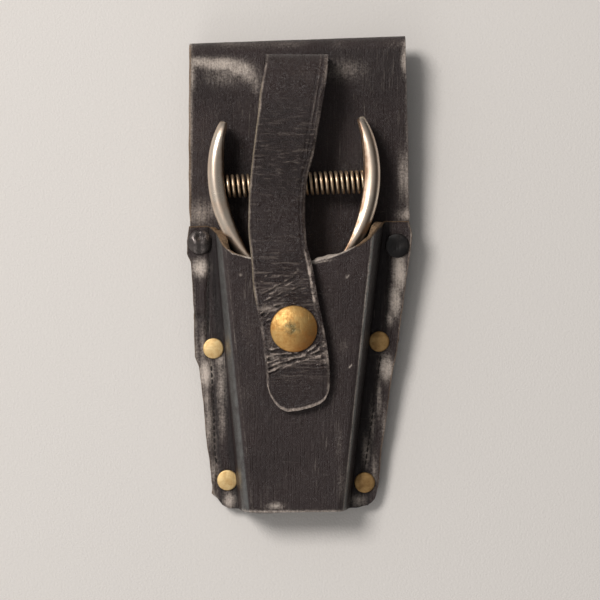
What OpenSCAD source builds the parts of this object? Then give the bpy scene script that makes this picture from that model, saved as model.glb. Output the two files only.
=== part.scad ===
// Guillotine nail clipper in a belt holster of moulded leather.
// The holster lies on its back: +X right, +Y towards the fold of the belt loop, +Z out of its front.
// Origin: centre of the outline, on the surface that the belt loop lies on. Millimetres.

/* [Leather] */
// Thickness of the back panel and belt loop
back_leather = 2.4; // [1.8:0.1:3]
// Thickness of the moulded front
front_leather = 2.2; // [1.6:0.1:2.8]
// Thickness of the closing strap
strap_leather = 2.2; // [1.6:0.1:2.6]
// Thickness of the strap's skived tab behind the back panel
tab_leather = 1.4; // [0.8:0.1:2]

/* [Belt loop] */
// Clear gap that the belt goes through
loop_gap = 6.5; // [5.5:0.1:9]
// Height of the fold above the centre of the outline
fold_y = 77.3; // [74:0.5:90]
// Lower end of the straight part of the loop
loop_foot_y = 22; // [20:0.5:30]
// Lower end of the loop's riveted tail
tail_y = 2.5; // [0:0.5:5]
// Width of the loop at the fold
loop_w = 71.4; // [66:0.2:73]
// Turn of the hand-cut fold
fold_turn = 2; // [0:0.1:3]

/* [Pouch] */
// Width across the ears
ear_w = 74; // [70:0.5:84]
// Height of the ears' top edge
ear_top_y = 16.2; // [14:0.2:18]
// Width above the cut corners of the toe
toe_w = 54.8; // [52:0.2:62]
// Height of the toe's bottom edge
toe_y = -77.8; // [-84:0.2:-76]
// Turn of the pouch on the back panel
pouch_lean = 1; // [0:0.1:1.5]
// Width of the moulded box at the mouth
box_mouth_w = 48; // [46:0.5:52]
// Width of the moulded box at the toe
box_toe_w = 31.4; // [31:0.2:32]
// Run of the drafted side walls
box_draft = 2.6; // [1:0.1:4]
// Height of the box over the back panel at the mouth
box_mouth_h = 16.2; // [15.9:0.1:20]
// Height of the box over the back panel at the toe
box_toe_h = 13.8; // [13.4:0.1:16]
// Radius of the moulded ridges
box_round = 3; // [2.4:0.1:4]
// Lowest point of the mouth's cut edge
mouth_y = 3; // [0:0.5:6]
// Rise of the mouth's edge at the box's sides
mouth_rise = 5.5; // [2:0.5:8]

/* [Rivets] */
// Diameter of the black loop rivets
loop_rivet_d = 8; // [6:0.1:8.6]
// Diameter of the brass side rivets
side_rivet_d = 6.8; // [5:0.1:7.4]
// Diameter of the rivets' shanks
rivet_shank_d = 3; // [2:0.1:3.6]
// Height of the rivets' domes
rivet_dome = 1.3; // [0.8:0.1:2]
// Distance of the loop rivets from the panel's edge
loop_rivet_inset = 4.6; // [4.5:0.1:5.4]
// Distance of the side rivets from the panel's edge
side_rivet_inset = 5; // [4.2:0.1:5.1]
// Height of the upper pair of side rivets
side_rivet_high = -24; // [-30:0.5:-18]
// Height of the lower pair of side rivets
side_rivet_low = -69; // [-70:0.5:-62]

/* [Strap] */
// Width of the closing strap
strap_w = 20.6; // [18:0.2:24]
// Height of the strap's slit in the back panel
strap_root_y = 69.7; // [66:0.1:70]
// Height of the strap's bend over the back panel
strap_bend_h = 9.7; // [9.4:0.1:12]
// Sideways bow of the strap over the handles
strap_bow = 6.9; // [0:0.1:8]
// Height of the strap's tip
strap_tip_y = -45.5; // [-50:0.5:-38]

/* [Snap] */
// Diameter of the snap's domed cap
snap_cap_d = 15; // [12.5:0.1:17]
// Height of the cap's dome
snap_dome = 2.2; // [1.4:0.1:3]
// Sideways place of the snap
snap_x = -1; // [-3:0.1:3]
// Height of the snap on the pouch
snap_y = -18.3; // [-24:0.1:-14]
// Diameter of the stud's head
snap_stud_d = 3.8; // [3:0.1:4.4]

/* [Clipper] */
// Turn of the clipper in the pouch
clipper_turn = 2; // [0:0.1:2.5]
// Sideways place of the nail hole's centre
clipper_x = 1.95; // [0:0.05:2]
// Height of the nail hole's centre
clipper_y = -66; // [-66.5:0.1:-64]
// Thickness of the handles' sheet
handle_sheet = 1.1; // [1:0.1:1.1]
// Depth of the channel handles
handle_h = 11.6; // [11.6:0.1:11.7]
// Radius of the handles' outer bow
bow_r = 42.8; // [41.5:0.1:44]
// Radius of the handles' inner edge
inner_r = 57.5; // [56:0.1:60]
// Width of the handles' flanges at the middle of the bow
flange_w = 4.8; // [4.4:0.1:5]
// Half the width across the bowed handles
bow_half_w = 28.1; // [27.5:0.1:29]
// Distance of the bow's middle from the nail hole
bow_q = 98; // [97:0.1:99]
// Distance of the handles' tips from the nail hole
tip_q = 116.6; // [114:0.1:118]
// Radius of the handles' pressed shoulders
shoulder_r = 2.6; // [2.2:0.1:3.4]
// Slope of the handles' inner faces, down from the shoulder
inner_slope = 15; // [8:1:15]
// Distance of the pivot from the nail hole, along the clipper
pivot_q = 30; // [29.5:0.1:31]
// Distance of the pivot from the clipper's middle
pivot_p = 12; // [12:0.1:12.4]
// Diameter of the pivot pin
pivot_d = 4; // [3:0.1:4.4]
// Distance between the pivot and the drive pin
drive_arm = 17; // [16.8:0.1:17.4]
// Diameter of the drive pin
drive_pin_d = 3; // [2.4:0.1:3.2]
// Full swing of the lever
lever_swing = 20; // [16:0.5:20]

/* [Cutting head] */
// Width of the nail hole
nail_hole_w = 8; // [7:0.1:9]
// Height of the nail hole
nail_hole_h = 5.6; // [5:0.1:6]
// Thickness of the frame's plate
frame_plate = 1.8; // [1.2:0.1:2]
// Thickness of the blade carrier
carrier_t = 2; // [1.8:0.1:2.2]
// Width of the blade carrier
carrier_w = 13.9; // [13:0.1:14]
// Thickness of the cover plate
cover_t = 1.4; // [1:0.1:1.8]
// Thickness of the lever's plate
lever_plate = 1.8; // [1.4:0.1:2]
// Thickness of the blade
blade_t = 0.7; // [0.5:0.1:0.9]

/* [Spring] */
// Outer diameter of the spring
spring_d = 8; // [7:0.1:8.4]
// Diameter of the spring's wire
wire_d = 1; // [0.8:0.05:1.1]
// Number of the spring's curls
spring_turns = 28; // [24:1:28]
// Distance of the spring from the nail hole
spring_q = 94.7; // [92:0.1:97]

/* [Hidden] */
$fn = 64;
EPS = 0.01;

// Clearances
hole_play = 0.1;        // round a rivet's shank or a screw
run_play = 0.05;        // round a turning pin, each side
slide_play = 0.1;       // under and over a sliding plate
ply_gap = 0.1;          // between the two plies at the loop's tail
strap_gap = 0.3;        // between the strap's bend and the flap
lay_gap = 0.3;          // between the back panel and the clipper

// Levels, from the surface up
panel_rear = back_leather + loop_gap;
panel_face = panel_rear + back_leather;
clipper_z = panel_face + lay_gap;
fold_r = panel_face / 2;
fold_c = fold_y - fold_r;
bend_z = panel_face + strap_bend_h;
knuckle_r = strap_leather / 2 + 0.4;

// Pouch: heights of the box and half widths of the flange
ear_y = 10;
corner_y = toe_y + 9;
front_slope = (box_mouth_h - box_toe_h) / (mouth_y - toe_y);
front_tilt = atan(front_slope);
function front_z(y) = panel_face + box_toe_h + (y - toe_y) * front_slope;
function panel_half(y) =
    ear_w / 2 - max(0, ear_y - y) * (ear_w - toe_w) / 2 / (ear_y - corner_y);
function box_half(y) =
    box_toe_w / 2 + (y - toe_y) * (box_mouth_w - box_toe_w) / 2 / (mouth_y - toe_y);

// Snap: heights over the pouch's front
stud_base_t = 0.5;
socket_t = 1.6;
strap_stand = stud_base_t + strap_gap + socket_t;
snap_base_d = 10.6;
socket_hole_d = snap_stud_d + 1;

// Clipper: levels in its own frame, pivot side right, tips up
frame_z = 2;
carrier_z = frame_z + frame_plate + slide_play;
cover_z = carrier_z + carrier_t + slide_play;
handle_mid = handle_h / 2;
bow_c = bow_half_w - bow_r;
inner_q = bow_q + 2.8;
inner_c = bow_half_w - flange_w - inner_r;
drive_lift = lever_swing / 2;
stroke = 2 * drive_arm * sin(drive_lift);
drive_q = pivot_q + drive_arm * sin(drive_lift);
drive_p = pivot_p - drive_arm * cos(drive_lift);
blade_edge_q = nail_hole_h / 2 + 0.5;
carrier_end_q = blade_edge_q + 6;
rail_end_q = 21;
rail_p = carrier_w / 2 + run_play;
pocket_q = blade_edge_q - stroke - 0.8;
screw_q = 16;
screw_d = 2;
screw_head_d = 4;
screw_play = 0.4;       // between the blade's screw and the cover's slot, each side
blade_len = 20;
blade_bevel = 1.3;
cover_screw_p = 9;
cover_screw_q = 17.5;
cover_screw_d = 1.5;
cover_screw_head_d = 3.2;
head_r = 8.8;
spring_r = (spring_d - wire_d) / 2;
spring_half = bow_half_w - handle_sheet - 0.25;

LEATHER = [0.17, 0.14, 0.13];
BRASS = [0.72, 0.53, 0.27];
BLACK_METAL = [0.12, 0.12, 0.12];
NICKEL = [0.78, 0.75, 0.69];
STEEL = [0.66, 0.66, 0.66];
WIRE = [0.62, 0.55, 0.44];

// Points of an arc, centre c, from angle a to angle b
function arc(c, r, a, b, n = 6) =
    [for (i = [0:n]) c + r * [cos(a + (b - a) * i / n), sin(a + (b - a) * i / n)]];
// Smooth step from 0 to 1
function ease(t) = let (u = min(1, max(0, t))) u * u * (3 - 2 * u);

// ---------- leather ----------

module leaned() {
    translate([0, ear_y, 0]) rotate([0, 0, -pouch_lean]) translate([0, -ear_y, 0]) children();
}

// Flange round the pouch, from the left ear down and up to the right ear
function flange_points() = let (half = panel_half(corner_y))
    [[-ear_w / 2, ear_top_y], [-ear_w / 2, ear_y], [-half, corner_y],
     [-half + 1, corner_y - 3.6], [-half + 4.6, toe_y - 0.8],
     [half - 4.6, toe_y + 0.8], [half - 1, corner_y - 3.6], [half, corner_y],
     [ear_w / 2, ear_y], [ear_w / 2, ear_top_y]];
function lean_point(p) = let (q = p - [0, ear_y], c = cos(pouch_lean), s = sin(pouch_lean))
    [q[0] * c + q[1] * s, q[1] * c - q[0] * s + ear_y];

// Side profile of the folded back panel, drawn on Y and Z
ramp_len = 8;
function tail_z(y) = (panel_rear - back_leather - ply_gap) * (1 - ease((y - loop_foot_y + ramp_len) / ramp_len));
function tail_edge(lift, from, to) = [for (i = [0:16])
    let (y = from + (to - from) * i / 16,
         slope = (tail_z(y + EPS) - tail_z(y - EPS)) / (2 * EPS),
         n = sqrt(1 + slope * slope))
        [y - lift * slope / n, tail_z(y) + lift / n]];

module folded_profile() {
    polygon(concat(
        [[toe_y - 5, panel_rear], [toe_y - 5, panel_face]],
        arc([fold_c, fold_r], fold_r, 90, -90, 20),
        tail_edge(0, loop_foot_y + 2, loop_foot_y - 11), [[tail_y, tail_z(0)]],
        [[tail_y, tail_z(0) + back_leather]],
        tail_edge(back_leather, loop_foot_y - 11, loop_foot_y + 2),
        arc([fold_c, fold_r], fold_r - back_leather, -90, 90, 20)));
}

module strap_slit(play) {
    translate([strap_root_x - strap_w / 2 - play, strap_root_y - strap_leather / 2 - play, panel_rear - 3])
        cube([strap_w + 2 * play, strap_leather + 2 * play, back_leather + 4]);
}

module back_panel() color(LEATHER) difference() {
    intersection() {
        rotate([0, 0, fold_turn]) translate([-ear_w, 0, 0])
            rotate([90, 0, 90]) linear_extrude(2 * ear_w) folded_profile();
        linear_extrude(panel_face + 1) polygon(concat(
            [[-loop_w / 2, fold_y + 3], [-ear_w / 2 + 0.9, ear_top_y + 0.5]],
            [for (p = flange_points()) lean_point(p)],
            [[ear_w / 2 - 0.4, ear_top_y + 0.5], [loop_w / 2 - 0.6, fold_y + 3]]));
    }
    strap_slit(hole_play);
    rivet_places(true, true) rivet_hole();
}

// Cross-section of the moulded box: wide foot, drafted walls, rounded ridges
function box_section(foot, top, h, r) = concat(
    [[foot, -1], [foot, 0]],
    arc([top - r, h - r], r, 14, 90), arc([r - top, h - r], r, 90, 166),
    [[-foot, 0], [-foot, -1]]);

module box_end(y, inset) {
    top = box_half(y) - inset;
    translate([0, y + EPS, panel_face]) rotate([90, 0, 0]) linear_extrude(2 * EPS)
        polygon(box_section(top + box_draft, top, front_z(y) - panel_face - inset, box_round - inset / 2));
}

module moulded_box(inset, from, to) hull() {
    box_end(from, inset);
    box_end(to, inset);
}

function mouth_edge(x) = mouth_y + mouth_rise * pow(x / 25, 2) + 0.06 * x;

module mouth_cut() {
    in = box_mouth_w / 2 + 1;
    translate([0, 0, panel_face - 1]) linear_extrude(box_mouth_h + 5)
        polygon(concat([[-in - 2.5, 60], [-in - 2.5, ear_top_y]],
                       [for (i = [0:16]) let (x = -in + 2 * in * i / 16) [x, mouth_edge(x)]],
                       [[in + 4, ear_top_y], [in + 4, 60]]));
}

module front_panel() color(LEATHER) difference() {
    leaned() difference() {
        union() {
            translate([0, 0, panel_face]) linear_extrude(front_leather) polygon(flange_points());
            intersection() {
                moulded_box(0, toe_y - 1, ear_top_y);
                translate([0, 0, panel_face]) linear_extrude(box_mouth_h + 5) polygon(flange_points());
            }
        }
        moulded_box(front_leather, toe_y - 3, ear_top_y + 3);
        mouth_cut();
    }
    rivet_places(true, true) rivet_hole();
    snap_place() cylinder(d = snap_stud_d + 2 * hole_play, h = 20, center = true);
}

// ---------- rivets ----------

// How far each side rivet was set off its mark by hand: upper left and right, lower left and right
rivet_drift = [[0.5, -1.6], [-0.3, 1.3], [0.3, 0], [0.5, 0]];
loop_rivet_y = 9.2;

// Stands its children on the back panel's face at each rivet
module rivet_places(loops, sides) leaned() {
    if (loops) for (side = [-1, 1])
        translate([side * (ear_w / 2 - loop_rivet_inset), loop_rivet_y, panel_face]) children();
    if (sides) for (row = [0, 1], column = [0, 1])
        let (y = [side_rivet_high, side_rivet_low][row], drift = rivet_drift[2 * row + column])
            translate([(2 * column - 1) * (panel_half(y) - side_rivet_inset) + drift[0], y + drift[1], panel_face])
                children();
}

module rivet_hole() {
    translate([0, 0, -panel_face - 1])
        cylinder(d = rivet_shank_d + 2 * hole_play, h = 2 * panel_face + 1);
}

module dome(d, h) {
    r = (d * d / 4 + h * h) / (2 * h);
    intersection() {
        translate([0, 0, h - r]) sphere(r = r);
        cylinder(d = d, h = h);
    }
}

module rivet(d, depth) {
    translate([0, 0, front_leather]) {
        cylinder(d = d, h = 0.5);
        translate([0, 0, 0.5]) dome(d, rivet_dome);
    }
    translate([0, 0, -depth]) cylinder(d = rivet_shank_d, h = depth + front_leather + EPS);
}

module burr(d, depth) {
    translate([0, 0, -depth]) difference() {
        cylinder(d = d, h = 0.6);
        translate([0, 0, -1]) cylinder(d = rivet_shank_d + 2 * hole_play, h = 3);
    }
}

loop_rivet_depth = 2 * back_leather + ply_gap + 0.6;
side_rivet_depth = back_leather + 0.6;
module loop_rivets() color(BLACK_METAL) rivet_places(true, false) rivet(loop_rivet_d, loop_rivet_depth);
module loop_rivet_burrs() color(BRASS) rivet_places(true, false) burr(loop_rivet_d - 1.4, loop_rivet_depth);
module side_rivets() color(BRASS) rivet_places(false, true) rivet(side_rivet_d, side_rivet_depth);
module side_rivet_burrs() color(BRASS) rivet_places(false, true) burr(side_rivet_d - 1, side_rivet_depth);

// ---------- closing strap ----------

// Underside of the strap: up from its bend, over the handles and the mouth, down the front
function strap_over_handles(y) = bend_z - strap_leather / 2
    + 4.2 * ease((strap_root_y - y) / 8) + 1.2 * ease((60 - y) / 28) + 3.2 * ease((34 - y) / 30);
function strap_on_front(y) = front_z(y) + strap_stand - 1.9 * ease((snap_y - 9 - y) / 17);
function strap_under(y) = let (w = ease((8 - y) / 18))
    (1 - w) * strap_over_handles(y) + w * strap_on_front(y);

// Middle line of the strap seen from the front
strap_root_x = -0.75;
tab_len = 11;
function strap_mid(y) = let (t = (strap_root_y - y) / (strap_root_y - strap_tip_y))
    strap_root_x - strap_bow * pow(sin(180 * t), 2) + 0.8 * t;

strap_steps = 44;
module strap_side() {
    ys = [for (i = [0:strap_steps]) strap_root_y - (strap_root_y - strap_tip_y + 2) * i / strap_steps];
    upper = [for (y = ys)
        let (slope = (strap_under(y + 0.1) - strap_under(y - 0.1)) / 0.2, n = sqrt(1 + slope * slope))
            [y - strap_leather * slope / n, strap_under(y) + strap_leather / n]];
    polygon(concat([for (y = ys) [y, strap_under(y)]],
                   [for (i = [strap_steps:-1:0]) upper[i]]));
}

module strap_outline() {
    end = strap_tip_y + 3.4;
    ys = [for (i = [0:24]) strap_root_y + 2 - (strap_root_y + 2 - end) * i / 24];
    right = [for (y = ys) [strap_mid(y) + strap_w / 2, y]];
    left = [for (i = [23:-1:0]) [strap_mid(ys[i]) - strap_w / 2, ys[i]]];
    mid = strap_mid(end);
    polygon(concat(right,
                   arc([mid + strap_w / 2 - 2.5, end], 2.5, -5, -70, 4),
                   arc([mid - 2.6, strap_tip_y + 3.2], 4, -80, -125, 4),
                   left));
}

module strap_flap() color(LEATHER) difference() {
    intersection() {
        translate([-2 * strap_w, 0, 0]) rotate([90, 0, 90]) linear_extrude(4 * strap_w) strap_side();
        translate([0, 0, panel_face]) linear_extrude(40) strap_outline();
    }
    translate([0, strap_root_y, bend_z]) rotate([0, 90, 0])
        cylinder(r = knuckle_r + strap_gap, h = 4 * strap_w, center = true);
    snap_place() cylinder(r = snap_post_r + hole_play, h = 30, center = true);
}

module strap_root() color(LEATHER) {
    slit = strap_root_y - strap_leather / 2;
    translate([strap_root_x - strap_w / 2, 0, 0]) {
        translate([0, slit, panel_rear - tab_leather])
            cube([strap_w, strap_leather, bend_z - panel_rear + tab_leather]);
        translate([0, strap_root_y, bend_z]) rotate([0, 90, 0]) cylinder(r = knuckle_r, h = strap_w);
        translate([0, slit - tab_len, panel_rear - tab_leather])
            cube([strap_w, tab_len + EPS, tab_leather]);
    }
}

// ---------- snap ----------

snap_post_r = 2;
// Stands its children on the pouch's front, square to it, in line with the strap
module snap_place() {
    leaned() translate([snap_x, snap_y, front_z(snap_y)]) rotate([front_tilt, 0, 0]) children();
}

module snap_stud() color(BRASS) snap_place() {
    cylinder(d = snap_base_d, h = stud_base_t);
    translate([0, 0, -front_leather - 0.2]) cylinder(d = snap_stud_d, h = front_leather + strap_stand - 0.1);
    translate([0, 0, strap_stand - 0.8]) cylinder(d = snap_stud_d + 0.3, h = 0.5);
}

module snap_eyelet() color(BRASS) snap_place() difference() {
    translate([0, 0, -front_leather - 0.6]) cylinder(d = snap_base_d, h = 0.5);
    cylinder(d = snap_stud_d + 2 * hole_play, h = 20, center = true);
}

module snap_cap() color(BRASS) snap_place() translate([0, 0, strap_stand]) {
    cylinder(r = snap_post_r, h = strap_leather + EPS);
    translate([0, 0, strap_leather]) {
        cylinder(d = snap_cap_d, h = 0.8);
        translate([0, 0, 0.8]) dome(snap_cap_d, snap_dome);
    }
}

module snap_socket() color(BRASS) snap_place() translate([0, 0, strap_stand - socket_t]) {
    difference() {
        cylinder(d = snap_base_d, h = socket_t - 0.05);
        translate([0, 0, -1]) cylinder(d = socket_hole_d, h = 5);
    }
}

// ---------- clipper ----------

module in_clipper() {
    translate([clipper_x, clipper_y, clipper_z]) rotate([0, 0, clipper_turn]) children();
}

// Section of the pressed channel on radius and height: web outside, flanges turned in and
// sloping down from the crest of each shoulder
module channel_section() {
    turn = bow_r - shoulder_r;
    inside = shoulder_r - handle_sheet;
    lean = 90 + inner_slope;
    // point of a flange at a distance inwards from the end of its shoulder
    function flange(r, along, up) = [turn + r * cos(lean) - along * cos(inner_slope),
        (up ? handle_h : 0) + (up ? 1 : -1) * (r * sin(lean) - shoulder_r - along * sin(inner_slope))];
    polygon(concat(
        [flange(shoulder_r, 8, false)], arc([turn, shoulder_r], shoulder_r, -lean, 0),
        arc([turn, handle_h - shoulder_r], shoulder_r, 0, lean), [flange(shoulder_r, 8, true)],
        [flange(inside, 8, true)],
        arc([turn, handle_h - shoulder_r], inside, lean, 0),
        arc([turn, shoulder_r], inside, 0, -lean), [flange(inside, 8, false)]));
}

module bowed_handle() {
    difference() {
        translate([bow_c, bow_q, 0]) rotate([0, 0, -46]) rotate_extrude(angle = 76, $fn = 128) channel_section();
        translate([inner_c, inner_q, -1]) cylinder(r = inner_r, h = handle_h + 2, $fn = 128);
        translate([0, tip_q, -1]) cube([60, 30, handle_h + 2]);
    }
    // seat of the spring, pressed out of the web
    translate([spring_half + 0.6, spring_q, handle_mid]) rotate([0, -90, 0])
        cylinder(r1 = spring_r - wire_d / 2 - 0.3, r2 = spring_r - wire_d / 2 - 0.7, h = 4.4);
}

// Flat tang that carries a bowed handle down to the pivot
module tang_outline(foot) {
    hull() {
        translate([20.6, 82]) circle(r = 2.2, $fn = 32);
        translate([14.4, 64]) circle(r = 3.2, $fn = 32);
    }
    hull() {
        translate([14.4, 64]) circle(r = 3.2, $fn = 32);
        translate([foot[0], foot[1]]) circle(r = foot[2], $fn = 32);
    }
}

module head_outline() hull() {
    circle(r = head_r, $fn = 48);
    for (side = [-1, 1]) translate([side * 7, 17]) circle(r = 4, $fn = 32);
}

module nail_hole() {
    run = (nail_hole_w - nail_hole_h) / 2;
    for (side = [-1, 1]) translate([side * run, 0, -1]) cylinder(d = nail_hole_h, h = 30);
    translate([-run, -nail_hole_h / 2, -1]) cube([2 * run, nail_hole_h, 30]);
}

module frame_handle() color(NICKEL) in_clipper() {
    mirror([1, 0, 0]) bowed_handle();
    difference() {
        union() {
            translate([0, 0, frame_z]) linear_extrude(frame_plate) union() {
                mirror([1, 0]) tang_outline([11, 38, 4.5]);
                hull() {
                    translate([-11, 38]) circle(r = 4.5, $fn = 32);
                    translate([pivot_p, pivot_q]) circle(r = 4, $fn = 32);
                    for (side = [-1, 1]) translate([side * 7, 17]) circle(r = 4, $fn = 32);
                }
                head_outline();
            }
            // rim that the cover plate is screwed to, with the blade's channel between
            difference() {
                translate([0, 0, frame_z + frame_plate - EPS])
                    linear_extrude(cover_z - frame_z - frame_plate + EPS) head_outline();
                translate([-rail_p, pocket_q, frame_z + frame_plate]) cube([2 * rail_p, 60, 10]);
                translate([-20, rail_end_q, frame_z + frame_plate]) cube([40, 60, 10]);
            }
            // seat of the lever round the pivot
            translate([pivot_p, pivot_q, frame_z + frame_plate - EPS])
                cylinder(r = 3.6, h = cover_z - frame_z - frame_plate - slide_play + EPS);
        }
        nail_hole();
        translate([pivot_p, pivot_q, -1]) cylinder(d = pivot_d, h = 20);
        cover_screw_places() translate([0, 0, -1]) cylinder(d = cover_screw_d + hole_play, h = 20);
    }
}

module lever_handle() color(NICKEL) in_clipper() {
    bowed_handle();
    difference() {
        translate([0, 0, cover_z]) linear_extrude(lever_plate) {
            tang_outline([pivot_p, pivot_q, 4]);
            hull() {
                translate([pivot_p, pivot_q]) circle(r = 4, $fn = 32);
                translate([drive_p, drive_q]) circle(r = 3, $fn = 32);
            }
        }
        translate([pivot_p, pivot_q, -1]) cylinder(d = pivot_d + 2 * run_play, h = 20);
        translate([drive_p, drive_q, -1]) cylinder(d = drive_pin_d, h = 20);
    }
}

module pivot_pin() color(STEEL) in_clipper() translate([pivot_p, pivot_q, frame_z]) {
    cylinder(d = pivot_d, h = cover_z - frame_z + lever_plate + slide_play + EPS);
    translate([0, 0, cover_z - frame_z + lever_plate + slide_play]) dome(pivot_d + 2.6, 1.2);
}

module drive_pin() color(STEEL) in_clipper() translate([drive_p, drive_q, carrier_z]) {
    cylinder(d = drive_pin_d, h = cover_z - carrier_z + lever_plate);
    translate([0, 0, cover_z - carrier_z + lever_plate]) dome(drive_pin_d + 1.4, 0.8);
}

module blade_carrier() color(STEEL) in_clipper() difference() {
    translate([-carrier_w / 2, carrier_end_q, carrier_z])
        cube([carrier_w, drive_q + 4 - carrier_end_q, carrier_t]);
    // step that holds the blade
    translate([-carrier_w, carrier_end_q - 1, carrier_z - 1])
        cube([2 * carrier_w, blade_len - 6 + 1, blade_t + 1 + 0.02]);
    // open slot of the drive pin
    translate([-carrier_w, drive_q - drive_pin_d / 2 - run_play, carrier_z - 1])
        cube([carrier_w + drive_p + 0.4, drive_pin_d + 2 * run_play, carrier_t + 2]);
    translate([drive_p + 0.4, drive_q, carrier_z - 1])
        cylinder(d = drive_pin_d + 2 * run_play, h = carrier_t + 2);
    translate([0, screw_q, -1]) cylinder(d = screw_d + 2 * hole_play, h = 20);
}

module blade() color(STEEL) in_clipper() difference() {
    translate([-carrier_w / 2, blade_edge_q, carrier_z]) rotate([90, 0, 90]) linear_extrude(carrier_w)
        polygon([[0, 0], [blade_len - 0.1, 0], [blade_len - 0.1, blade_t], [blade_bevel, blade_t]]);
    translate([0, screw_q, -1]) cylinder(d = screw_d + 2 * hole_play, h = 20);
}

module blade_screw() color(STEEL) in_clipper() translate([0, screw_q, carrier_z]) {
    cylinder(d = screw_d, h = carrier_t + EPS);
    translate([0, 0, carrier_t]) difference() {
        cylinder(d = screw_head_d, h = 1.3);
        translate([-3, -0.3, 0.7]) cube([6, 0.6, 1]);
    }
}

slot_half = screw_head_d / 2 + screw_play;
module cover_plate() color(NICKEL) in_clipper() difference() {
    translate([0, 0, cover_z]) linear_extrude(cover_t) intersection() {
        head_outline();
        translate([-2 * head_r, -2 * head_r]) square([4 * head_r, rail_end_q + 2 * head_r]);
    }
    nail_hole();
    // slot that the blade's screw travels in
    translate([0, screw_q - stroke, -1]) cylinder(r = slot_half, h = 20);
    translate([-slot_half, screw_q - stroke, -1]) cube([2 * slot_half, stroke + head_r, 20]);
    cover_screw_places() translate([0, 0, -1]) cylinder(d = cover_screw_d + hole_play, h = 20);
}

module cover_screw_places() {
    for (side = [-1, 1]) translate([side * cover_screw_p, cover_screw_q, 0]) children();
}

module cover_screws() color(STEEL) in_clipper() cover_screw_places() {
    translate([0, 0, frame_z]) cylinder(d = cover_screw_d, h = cover_z + cover_t - frame_z + EPS);
    translate([0, 0, cover_z + cover_t]) difference() {
        cylinder(d = cover_screw_head_d, h = 0.9);
        translate([-3, -0.25, 0.5]) cube([6, 0.5, 1]);
    }
}

// ---------- spring ----------

rings_a_turn = 8;
spring_from = -spring_half + 0.1;
spring_to = spring_half - 0.1;
spring_steps = spring_turns * rings_a_turn;
spring_lead = wire_d;
// Middle line of the wire: straight off one seat, round the turns, straight to the other seat
spring_path = concat(
    [[spring_from, spring_r, 0]],
    [for (i = [0:spring_steps])
        let (a = 360 * i / rings_a_turn)
            [spring_from + spring_lead + (spring_to - spring_from - 2 * spring_lead) * i / spring_steps,
             spring_r * cos(a), spring_r * sin(a)]],
    [[spring_to, spring_r, 0]]);

function unit(v) = v / norm(v);
// Carries a ring along its stretch of wire to the mitre at the next point
function carry(ring, here, next, after) =
    let (d = unit(next - here), n = d + unit(after - next))
        [for (v = ring) v + d * (((next - v) * n) / (d * n))];

module tube(path, r, sides) {
    last = len(path) - 1;
    far = path[last] + (path[last] - path[last - 1]);
    start = [for (k = [0:sides - 1])
        path[0] + [0, r * cos(360 * k / sides), r * sin(360 * k / sides)]];
    rings = [for (i = 0, ring = start; i <= last;
                  ring = i < last ? carry(ring, path[i], path[i + 1], i + 2 <= last ? path[i + 2] : far) : ring,
                  i = i + 1) ring];
    points = [for (ring = rings) for (v = ring) v];
    side_faces = [for (i = [0:last - 1]) for (k = [0:sides - 1])
        let (a = i * sides + k, b = i * sides + (k + 1) % sides)
            each [[a, b + sides, b], [a, a + sides, b + sides]]];
    start_cap = [for (k = [1:sides - 2]) [0, k, k + 1]];
    end_cap = [for (k = [1:sides - 2]) let (o = last * sides) [o, o + k + 1, o + k]];
    polyhedron(points, concat(side_faces, start_cap, end_cap));
}

// Least gap between two stretches of the wire that are half a turn or more apart
spring_gap = min([for (i = [0:spring_steps], j = [i + 5:1:min(spring_steps, i + 12)])
    norm(spring_path[i + 1] - spring_path[j + 1])]) - wire_d;

module spring() color(WIRE) in_clipper() {
    echo(least_gap_of_spring_to_itself = spring_gap);
    translate([0, spring_q, handle_mid]) tube(spring_path, wire_d / 2, 6);
}

back_panel();
front_panel();
strap_root();
strap_flap();
loop_rivets();
loop_rivet_burrs();
side_rivets();
side_rivet_burrs();
snap_stud();
snap_eyelet();
snap_cap();
snap_socket();
frame_handle();
lever_handle();
cover_plate();
cover_screws();
pivot_pin();
drive_pin();
blade_carrier();
blade();
blade_screw();
spring();
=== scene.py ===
"""Nail clipper in a leather belt holster: the look of every piece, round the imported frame."""
import math

import bpy
from mathutils import Matrix, Vector, noise


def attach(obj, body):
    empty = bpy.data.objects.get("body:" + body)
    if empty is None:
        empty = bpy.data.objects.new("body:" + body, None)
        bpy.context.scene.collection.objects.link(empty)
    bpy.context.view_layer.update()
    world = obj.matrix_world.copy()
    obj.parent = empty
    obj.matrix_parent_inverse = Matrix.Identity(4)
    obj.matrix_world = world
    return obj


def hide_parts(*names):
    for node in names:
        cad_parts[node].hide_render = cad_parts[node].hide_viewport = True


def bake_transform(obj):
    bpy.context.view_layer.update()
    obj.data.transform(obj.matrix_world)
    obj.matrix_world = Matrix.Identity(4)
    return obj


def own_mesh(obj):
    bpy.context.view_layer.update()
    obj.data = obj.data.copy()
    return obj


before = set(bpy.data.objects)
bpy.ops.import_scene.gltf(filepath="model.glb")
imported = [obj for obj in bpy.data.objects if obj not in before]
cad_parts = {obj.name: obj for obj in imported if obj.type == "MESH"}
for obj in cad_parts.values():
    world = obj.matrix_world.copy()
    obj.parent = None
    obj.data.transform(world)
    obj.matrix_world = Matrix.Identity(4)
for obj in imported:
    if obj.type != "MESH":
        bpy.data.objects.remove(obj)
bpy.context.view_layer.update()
MM = 0.001

# ---------------------------------------------------------------- camera, floor, light

CAMERA_X, CAMERA_Y = 0.5, -9.24   # middle of the picture, mm
CAMERA_Z = 660
LENS, SENSOR = 118, 36
FLOOR_RISE = 0.0883               # the holster leans on its loop and its lower rivets
FLOOR_Y = 22


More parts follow.
